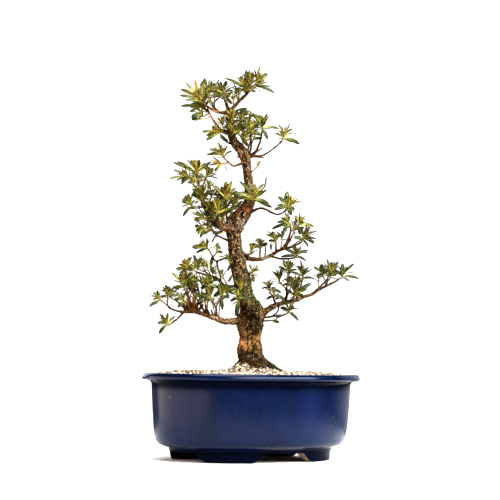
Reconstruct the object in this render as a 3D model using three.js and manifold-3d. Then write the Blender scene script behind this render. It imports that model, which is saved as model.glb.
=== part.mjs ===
// A satsuki azalea grown as an informal upright bonsai, standing in a glazed oval pot.
// Lengths are millimetres and +Z is up. X runs along the pot's long axis and Y across it.
// The origin is the middle of the pot, on the surface that its feet stand on.
import * as THREE from "three";
import { mergeVertices } from "three/addons/utils/BufferGeometryUtils.js";
import Module from "manifold-3d";

const wasm = await Module();
wasm.setup();

// The pot
const RIM_LENGTH = 300;
const RIM_WIDTH = 234;
const RIM_TOP = 110.6;
const RIM_DROP = 8.3; // height of the lip's outer edge
const OVERHANG = 12.6; // from the wall out to the lip's edge
const WALL = 7;
const UNDERSIDE = 14;
const FLOOR_TOP = 22;
const RING_INSET = 36.5; // from the lip's edge in to the foot ring
const RING_BAND = 14;
const FOOT_HEIGHT = 12;
const FOOT_ANGLE = 49; // eccentric angle of each foot's middle, from the long axis
const FOOT_BOTTOM_HALF = 16;
const FOOT_TOP_HALF = 29;
const DRAIN_OFFSET = 46;
const DRAIN_RADIUS = 9;
const POT_SIDES = 32;

// The soil and what keeps it in the pot
const GAP = 0.3; // between pieces that touch
const SOIL_EDGE = 110.1; // height of the soil where it meets the pot
const SOIL_CROWN = 3; // its rise in the middle
const MOUND_HEIGHT = 9;
const MOUND_RADIUS = 26;
const GRAIN = 0.9;
const SCREEN_SIZE = 30;
const SCREEN_THICK = 1;
const SCREEN_CELLS = 4;
const SCREEN_BAR = 1.6;
const CLIP_RADIUS = 0.7;
const CLIP_HALF = 3.9; // from the clip's middle to each leg
const CLIP_TOE = 9; // length of each leg's bent end

// The tree
const LEAF_WIDTH = 4.6;
const LEAF_THICK = 0.9;
const LEAF_LENGTH = [15, 21];
const SHOOT_RADIUS = 1.25;
const SHOOT_LENGTH = 7;
const GOLDEN_ANGLE = 2.39996;
const FIRST_SEED = 11; // each spray draws from its own seed, counted on from this one

// The tree is laid out on a front elevation of 1.3 mm squares: x to the right, y down, and a depth
// in millimetres, positive away from the front. It is drawn as seen from EYE_DISTANCE away, and the
// tree's front is turned from the pot's long side by FRONT_TURN.
const SQUARE = 1.3;
const AXIS_SQUARE = 253.9;
const GROUND_SQUARE = 458.8;
const SHEET_LEAN = 0.0135;
const SHEET_MIDDLE = 250;
const EYE_DISTANCE = 2170;
const EYE_HEIGHT = 134;
const FRONT_TURN = THREE.MathUtils.degToRad(33.3);

function place([x, y, depth = 0]) {
  const spread = 1 + depth / EYE_DISTANCE;
  const across = SQUARE * (x + SHEET_LEAN * (y - SHEET_MIDDLE) - AXIS_SQUARE) * spread;
  const flat = SQUARE * (GROUND_SQUARE - y + SHEET_LEAN * (x - SHEET_MIDDLE));
  return new THREE.Vector3(
    across * Math.cos(FRONT_TURN) + depth * Math.sin(FRONT_TURN),
    -across * Math.sin(FRONT_TURN) + depth * Math.cos(FRONT_TURN),
    EYE_HEIGHT + (flat - EYE_HEIGHT) * spread,
  );
}

const RIGHT = new THREE.Vector3(Math.cos(FRONT_TURN), -Math.sin(FRONT_TURN), 0);
const AWAY = new THREE.Vector3(Math.sin(FRONT_TURN), Math.cos(FRONT_TURN), 0);
const UP = new THREE.Vector3(0, 0, 1);

// ---- Closed skins and solids

// A closed skin over loops of points; an end loop of one point is an apex, others get a flat cap.
function skin(loops) {
  const corners = [];
  const starts = [];
  for (const loop of loops) {
    starts.push(corners.length);
    corners.push(...loop);
  }
  const faces = [];
  for (let row = 0; row + 1 < loops.length; row++) {
    const near = loops[row].length;
    const far = loops[row + 1].length;
    for (let i = 0; i < Math.max(near, far); i++) {
      const a = starts[row] + (i % near);
      const b = starts[row] + ((i + 1) % near);
      const c = starts[row + 1] + ((i + 1) % far);
      const d = starts[row + 1] + (i % far);
      if (a !== b) faces.push(a, b, c);
      if (c !== d) faces.push(a, c, d);
    }
  }
  const last = starts[loops.length - 1];
  for (let i = 1; i + 1 < loops[0].length; i++) faces.push(0, i + 1, i);
  for (let i = 1; i + 1 < loops[loops.length - 1].length; i++) faces.push(last, last + i, last + i + 1);
  let volume = 0;
  for (let i = 0; i < faces.length; i += 3) {
    const [a, b, c] = faces.slice(i, i + 3).map((corner) => corners[corner]);
    volume += a.dot(b.clone().cross(c));
  }
  if (volume < 0) faces.reverse();
  return new THREE.BufferGeometry().setFromPoints(corners).setIndex(faces);
}

function solid(geometry) {
  geometry.deleteAttribute("normal");
  geometry.deleteAttribute("uv");
  const merged = mergeVertices(geometry, 1e-4);
  const made = new wasm.Mesh({
    numProp: 3,
    vertProperties: new Float32Array(merged.attributes.position.array),
    triVerts: new Uint32Array(merged.index.array),
  });
  return new wasm.Manifold(made);
}

function join(solids) {
  let row = solids;
  while (row.length > 1) {
    const pairs = [];
    for (let i = 0; i < row.length; i += 2) pairs.push(row[i + 1] ? row[i].add(row[i + 1]) : row[i]);
    row = pairs;
  }
  return row[0];
}

function piece(name, made, color, roughness) {
  const { vertProperties, triVerts } = made.getMesh();
  const geometry = new THREE.BufferGeometry();
  geometry.setAttribute("position", new THREE.BufferAttribute(vertProperties, 3));
  geometry.setIndex(new THREE.BufferAttribute(triVerts, 1));
  geometry.computeVertexNormals();
  const material = new THREE.MeshStandardMaterial({ color, roughness, metalness: 0 });
  const mesh = new THREE.Mesh(geometry, material);
  mesh.name = name;
  return mesh;
}

// Repeatable draws between 0 and 1.
function draws(seed) {
  let state = seed;
  return () => {
    state = (state + 0x6d2b79f5) | 0;
    let mixed = Math.imul(state ^ (state >>> 15), 1 | state);
    mixed = (mixed + Math.imul(mixed ^ (mixed >>> 7), 61 | mixed)) ^ mixed;
    return ((mixed ^ (mixed >>> 14)) >>> 0) / 4294967296;
  };
}

// ---- The pot

// A loop of the pot's oval, drawn in from the lip's edge by inset.
function oval(inset, height) {
  const loop = [];
  for (let i = 0; i < POT_SIDES; i++) {
    const angle = (2 * Math.PI * i) / POT_SIDES;
    const x = (RIM_LENGTH / 2 - inset) * Math.cos(angle);
    const y = (RIM_WIDTH / 2 - inset) * Math.sin(angle);
    loop.push(new THREE.Vector3(x, y, height));
  }
  return loop;
}

function potBody() {
  const lip = RIM_TOP - RIM_DROP;
  const inner = OVERHANG + WALL;
  const profile = [
    [RING_INSET + RING_BAND + 2, UNDERSIDE],
    [RING_INSET + RING_BAND, FOOT_HEIGHT],
    [RING_INSET, FOOT_HEIGHT],
    [RING_INSET - 0.5, FOOT_HEIGHT + 4],
    [RING_INSET - 14, FOOT_HEIGHT + 9],
    [OVERHANG + 5, FOOT_HEIGHT + 25],
    [OVERHANG, lip - 3],
    [3, lip],
    [0, lip + RIM_DROP / 2],
    [2.2, RIM_TOP - 0.6],
    [5.5, RIM_TOP],
    [inner, RIM_TOP - 2],
    [inner + 4.2, FLOOR_TOP + 17],
    [RING_INSET - 2, FLOOR_TOP + 3],
    [RING_INSET + 6, FLOOR_TOP],
  ];
  const loops = profile.map(([inset, height]) => oval(inset, height));
  loops.unshift([new THREE.Vector3(0, 0, UNDERSIDE)]);
  loops.push([new THREE.Vector3(0, 0, FLOOR_TOP)]);
  return solid(skin(loops));
}

// A foot is a stretch of the ring whose underside sweeps down from the ring to the ground.
function foot(middle) {
  const stations = [-29, -25.8, -22.5, -19.2, -16, -5.4, 5.4, 16, 19.2, 22.5, 25.8, 29];
  const loops = stations.map((step) => {
    const rise = THREE.MathUtils.smoothstep(Math.abs(step), FOOT_BOTTOM_HALF, FOOT_TOP_HALF);
    const low = (FOOT_HEIGHT + 1) * rise;
    const angle = THREE.MathUtils.degToRad(middle + step);
    const batter = 1.6 * (1 - rise);
    const corner = (inset, height) =>
      new THREE.Vector3(
        (RIM_LENGTH / 2 - inset) * Math.cos(angle),
        (RIM_WIDTH / 2 - inset) * Math.sin(angle),
        height,
      );
    return [
      corner(RING_INSET + 0.6, FOOT_HEIGHT + 2),
      corner(RING_INSET + 0.6 + batter, low),
      corner(RING_INSET + RING_BAND - 1, low),
      corner(RING_INSET + RING_BAND - 1, FOOT_HEIGHT + 2),
    ];
  });
  return solid(skin(loops));
}

function drain(side) {
  const hole = new THREE.CylinderGeometry(DRAIN_RADIUS, DRAIN_RADIUS, 30, 20);
  hole.rotateX(Math.PI / 2);
  hole.translate(side * DRAIN_OFFSET, 0, UNDERSIDE);
  return solid(hole);
}

function pot() {
  const feet = [FOOT_ANGLE, 180 - FOOT_ANGLE, 180 + FOOT_ANGLE, 360 - FOOT_ANGLE].map(foot);
  return join([potBody(), ...feet]).subtract(drain(-1)).subtract(drain(1));
}

// ---- Drain screens and the wire clips that hold them

function block(size, middle) {
  const box = new THREE.BoxGeometry(...size);
  box.translate(...middle);
  return solid(box);
}

function screen(side) {
  const middle = FLOOR_TOP + GAP + SCREEN_THICK / 2;
  const pitch = (SCREEN_SIZE - SCREEN_BAR) / SCREEN_CELLS;
  const cell = pitch - SCREEN_BAR;
  let plate = block([SCREEN_SIZE, SCREEN_SIZE, SCREEN_THICK], [side * DRAIN_OFFSET, 0, middle]);
  for (let row = 0; row < SCREEN_CELLS; row++) {
    for (let column = 0; column < SCREEN_CELLS; column++) {
      const x = side * DRAIN_OFFSET + (column - (SCREEN_CELLS - 1) / 2) * pitch;
      const y = (row - (SCREEN_CELLS - 1) / 2) * pitch;
      plate = plate.subtract(block([cell, cell, 3 * SCREEN_THICK], [x, y, middle]));
    }
  }
  return plate;
}

// A staple of wire: over the screen, down through two of its cells and the hole, and out below.
function clip(side) {
  const over = FLOOR_TOP + 2 * GAP + SCREEN_THICK + CLIP_RADIUS;
  const under = UNDERSIDE - GAP - CLIP_RADIUS;
  const legs = [
    [-CLIP_HALF - CLIP_TOE, under],
    [-CLIP_HALF - 1, under],
    [-CLIP_HALF, under + 1.5],
    [-CLIP_HALF, over - 1],
    [-CLIP_HALF + 1, over],
    [CLIP_HALF - 1, over],
    [CLIP_HALF, over - 1],
    [CLIP_HALF, under + 1.5],
    [CLIP_HALF + 1, under],
    [CLIP_HALF + CLIP_TOE, under],
  ];
  const offset = (SCREEN_SIZE - SCREEN_BAR) / SCREEN_CELLS / 2;
  const route = legs.map(([along, height]) => ({
    at: new THREE.Vector3(side * DRAIN_OFFSET + along, offset, height),
    r: CLIP_RADIUS,
  }));
  return limb(route, 4);
}

// ---- Wood

// A closed tapering tube through a route. A station has its place and radius, a radius of 0 at a
// point, and may have its own direction along the tube; relief shapes the section.
function limb(route, sides, relief = () => 1) {
  const last = route.length - 1;
  const side = new THREE.Vector3();
  const loops = route.map(({ at, r, along }, i) => {
    const ahead = route[Math.min(i + 1, last)].at;
    const behind = route[Math.max(i - 1, 0)].at;
    const axis = along ?? ahead.clone().sub(behind).normalize();
    if (r === 0) return [at];
    if (i === 0) side.copy(Math.abs(axis.z) < 0.8 ? UP : RIGHT);
    side.addScaledVector(axis, -side.dot(axis)).normalize();
    const across = axis.clone().cross(side);
    const loop = [];
    for (let k = 0; k < sides; k++) {
      const angle = (2 * Math.PI * k) / sides;
      const reach = r * relief(angle, i);
      const point = at.clone().addScaledVector(side, reach * Math.cos(angle));
      loop.push(point.addScaledVector(across, reach * Math.sin(angle)));
    }
    return loop;
  });
  return solid(skin(loops));
}

// The trunk's line: x, y, depth on the front elevation, then half its width in squares.
const trunkLine = [
  [254, 388, 0, 8],
  [254, 373, 0, 16.5],
  [253, 367, 0, 15.5],
  [251.8, 361, 0, 13],
  [250, 355, 0, 12.4],
  [249.5, 349, 0, 12.4],
  [250, 343, 0, 10.7],
  [250, 338, 0, 10],
  [250, 333, 0, 11.4],
  [250.3, 327, 0, 13],
  [251, 320, 0, 13.4],
  [252, 314, -1, 13.6],
  [250.6, 309, -2, 11.5],
  [248.4, 304, -3, 9.2],
  [245.8, 298, -4, 7.8],
  [243.2, 289, -5, 8.3],
  [241.5, 280, -5, 8.7],
  [239, 270, -5, 8.2],
  [237, 260, -4, 8],
  [235.5, 250, -3, 7],
  [234.6, 241, -2, 6.8],
  [234, 234, -1, 7.4],
  [234.5, 228, 0, 9.4],
  [237, 222, 1, 9.4],
  [242, 216, 2, 8.2],
  [245.5, 210, 3, 7.2],
  [248.5, 205, 4, 5.8],
  [250, 198, 4, 5],
  [249, 184, 4, 4.7],
  [247.2, 170, 2, 4.4],
  [246, 162, 2, 5],
  [243.5, 155, 1, 5.3],
  [240, 149, 0, 5.1],
  [235.5, 144, 0, 4.4],
  [232.5, 138, 0, 4.1],
  [229.8, 125, 0, 3.6],
  [229, 113, 0, 3.6],
  [229.2, 108, 0, 2.6],
];

// Old branches: x, y, depth, radius in mm.
const oldBranches = [
  // low left
  [
    [246, 319, -4, 5],
    [237, 321.5, -7, 4.3],
    [225, 322, -10, 3.9],
    [217, 319.3, -12, 3.6],
    [209.6, 316.8, -14, 3.3],
    [203, 314.3, -17, 3],
    [196, 312.4, -20, 2.7],
    [189, 312.4, -23, 2.3],
    [182, 312.4, -27, 1.9],
    [174, 310.5, -31, 1.4],
    [168.5, 308, -34, 1.2],
  ],
  // middle left
  [
    [239, 288, -4, 3.2],
    [230, 287.3, -5, 2.5],
    [225, 286.5, -6, 2.2],
    [221, 283, -7, 2],
    [217, 278.8, -9, 1.9],
    [210.5, 277.3, -12, 1.6],
    [203, 274.5, -15, 1.4],
    [198.5, 273.4, -17, 1.2],
  ],
  // upper left, from the swelling where the trunk turns
  [
    [235, 226, -1, 7],
    [228, 228, -4, 5.6],
    [221.5, 227.5, -7, 4.4],
    [215, 222.5, -8, 3.6],
    [209, 216, -8, 3.1],
    [205, 207.5, -6, 2.6],
    [201.5, 197, -2, 2.2],
    [199.3, 188, 3, 1.8],
    [198, 182, 6, 1.4],
  ],
  // middle right
  [
    [241, 255.5, -2, 4.2],
    [250, 259.3, -1, 3.1],
    [260, 260, -1, 2.7],
    [266, 258, -3, 2.5],
    [272, 255.5, -5, 2.4],
    [277, 252, -7, 2.2],
    [283, 249.7, -9, 2],
    [290, 248, -12, 1.7],
    [296, 245.7, -15, 1.4],
    [300, 243.6, -17, 1.2],
  ],
  // low right
  [
    [257, 318, -2, 5.4],
    [264, 313, -3, 4.3],
    [270, 308.8, -4, 3.6],
    [276, 305.7, -3, 3.3],
    [283, 303.6, -1, 3],
    [290, 302, 2, 2.7],
    [297, 300.4, 6, 2.6],
    [303, 297.6, 9, 2.4],
    [311, 295.2, 13, 2.2],
    [318, 290.8, 17, 2],
    [325, 287.2, 20, 1.8],
    [333, 283.2, 23, 1.6],
    [338.5, 280.4, 25, 1.3],
  ],
  // crown, left and right of the top fork
  [
    [229.4, 112, 0, 3],
    [222.5, 112.4, -6, 2.3],
    [215, 111, -13, 1.9],
    [209, 107.3, -19, 1.6],
    [205, 104.6, -23, 1.3],
  ],
  [
    [229, 112, 0, 3],
    [232, 108.6, 1, 2.5],
    [236.5, 103.6, 3, 2.2],
    [241, 98.5, 6, 1.9],
    [244.6, 95.2, 9, 1.5],
  ],
  // a long whip from the upper trunk to the right
  [
    [247, 156.5, 2, 2.4],
    [256, 156.2, 4, 1.7],
    [263, 155.5, 8, 1.4],
    [270, 151.3, 12, 1.3],
    [277, 146, 15, 1.2],
    [281, 142, 17, 1.1],
  ],
  // a bowed branch from the trunk's turn to the right
  [
    [246, 215, 2, 2.6],
    [253, 211.5, 1, 1.9],
    [260, 208.7, -2, 1.6],
    [266, 210, -5, 1.5],
    [272, 213.2, -8, 1.4],
    [278, 215, -11, 1.3],
    [283, 213, -14, 1.2],
    [285, 211.6, -15, 1.1],
  ],
];

// Short dead spurs and bare twigs: x, y, depth, radius.
const bareTwigs = [
  [[251, 156.6, 3, 1.2], [258, 157.2, 0, 1], [264.5, 158.2, -2, 0.7]],
  [[250, 206, -1, 1.4], [258, 195, -5, 1.1], [264.6, 186.5, -4, 0.9], [266.5, 177, -4, 0.8]],
  [[233, 144, -3, 1.6], [228, 142.6, -7, 1.2], [222, 138.6, -9, 0.8]],
  [[243, 157.5, -2, 1.3], [236.5, 157, -6, 0.8]],
  [[230, 242, -2, 1.4], [222, 238.4, -6, 1.2], [216, 236.6, -7, 1.1], [212, 243, -4, 0.8]],
  [[265, 258.5, -3, 1.2], [265.4, 251, -9, 0.9], [265, 246, -11, 0.7]],
  [[217, 262, -9, 1.3], [218, 269, -12, 1.1], [220.5, 277, -9, 1], [221, 283, -7, 0.9]],
  [[279, 305, -3, 1.1], [277.5, 312, -3, 0.9], [272.5, 316.6, -2, 0.9]],
  [[251, 157, 2, 1.2], [258.5, 150.5, 5, 1], [262.5, 148.4, 6, 0.8]],
  [[214, 318, -12, 1.3], [211, 310, -4, 0.9]],
  [[244, 257, -4, 1.4], [250, 254.5, -8, 1.2], [254.5, 251.5, -9, 0.8]],
  [[257, 320, -3, 1.4], [266, 321.4, -5, 1.1], [273, 320.6, -5, 0.8]],
];

// Roots that grip the soil: direction in degrees from the front view's right, reach, radius.
const roots = [
  [-8, 1.3, 6.6],
  [42, 1, 7],
  [88, 0.9, 7.5],
  [138, 1, 6.5],
  [184, 0.95, 6.8],
  [232, 1.05, 6.5],
  [286, 0.85, 7],
];
const rootCentre = [252, 360, 0];
const rootRoute = [
  // distance out, height, share of the radius
  [3, 134, 0.9],
  [13, 123, 1],
  [24, 115.5, 0.68],
  [36, 107, 0.44],
  [47, 90, 0.22],
];

function trunk(grow) {
  const route = trunkLine.map(([x, y, depth, half]) => ({
    at: place([x, y, depth]),
    r: half * SQUARE + grow,
  }));
  const ridges = (angle, i) =>
    1 + 0.05 * Math.sin(3 * angle + 0.45 * i) + 0.035 * Math.sin(5 * angle - 0.8 * i + 1);
  return limb(route, 12, ridges);
}

function root([degrees, reach, radius], grow) {
  const angle = THREE.MathUtils.degToRad(degrees);
  const centre = place(rootCentre);
  const route = rootRoute.map(([out, height, share]) => ({
    at: centre
      .clone()
      .addScaledVector(RIGHT, out * reach * Math.cos(angle))
      .addScaledVector(AWAY, out * reach * Math.sin(angle))
      .setZ(height),
    r: radius * share + grow,
  }));
  const tip = route[route.length - 1];
  if (grow) route.push({ at: tip.at.clone().setZ(tip.at.z - 4 * grow), r: tip.r });
  return limb(route, 5);
}

// The hole that the trunk's foot and roots stand in.
function rootHole() {
  const grow = 3 * GAP;
  const foot = trunkLine.slice(0, 6).map(([x, y, depth, half]) => ({
    at: place([x, y, depth]),
    r: half * SQUARE * 1.09 + grow,
  }));
  foot.unshift({ at: foot[0].at.clone().setZ(foot[0].at.z - 2), r: foot[0].r });
  return join([limb(foot, 12), ...roots.map((each) => root(each, grow))]);
}

// ---- Soil

const trunkFoot = place(rootCentre);

function soilHeight(x, y) {
  const inner = OVERHANG + WALL;
  const share = Math.hypot(x / (RIM_LENGTH / 2 - inner), y / (RIM_WIDTH / 2 - inner));
  const from = Math.hypot(x - trunkFoot.x, y - trunkFoot.y) / MOUND_RADIUS;
  const grain = Math.sin(0.83 * x + 1.3 * y) + Math.sin(1.17 * y - 0.61 * x + 2) + Math.sin(1.9 * x);
  const even = SOIL_EDGE + SOIL_CROWN * (1 - share ** 4) + MOUND_HEIGHT * Math.exp(-from * from);
  return even + (GRAIN / 3) * grain * (share < 0.97 ? 1 : 0);
}

function soil() {
  const inner = OVERHANG + WALL + GAP;
  const surface = (share) =>
    oval(inner, 0).map((point) => {
      const x = point.x * share;
      const y = point.y * share;
      return new THREE.Vector3(x, y, soilHeight(x, y));
    });
  const rings = [1, 0.9, 0.78, 0.66, 0.54, 0.42, 0.3, 0.16];
  const loops = [
    [new THREE.Vector3(0, 0, FLOOR_TOP + GAP)],
    oval(RING_INSET + 6.5, FLOOR_TOP + GAP),
    oval(RING_INSET - 1.5, FLOOR_TOP + 3 + GAP),
    oval(inner + 4.4, FLOOR_TOP + 17),
    oval(inner + 0.2, RIM_TOP - 4),
    ...rings.map(surface),
    [new THREE.Vector3(0, 0, soilHeight(0, 0))],
  ];
  let made = solid(skin(loops)).subtract(rootHole());
  for (const side of [-1, 1]) {
    const room = [SCREEN_SIZE + 1, SCREEN_SIZE + 1, 6.4];
    made = made.subtract(block(room, [side * DRAIN_OFFSET, 0, FLOOR_TOP + GAP]));
  }
  return made;
}

// ---- Leafy shoots

// A head of leaves: its hub, how many extra leaves its rule adds, and its leaves' tips where the
// front elevation shows them as [x, y] or, for a broad leaf, [x, y, width in mm].
function head(hub, extra, tips = []) {
  return { hub, extra, tips };
}

// A spray: a woody twig that starts in a branch, and the heads on green shoots at its end.
function spray(name, radius, twig, ...heads) {
  return { name, radius, twig, heads };
}

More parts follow.
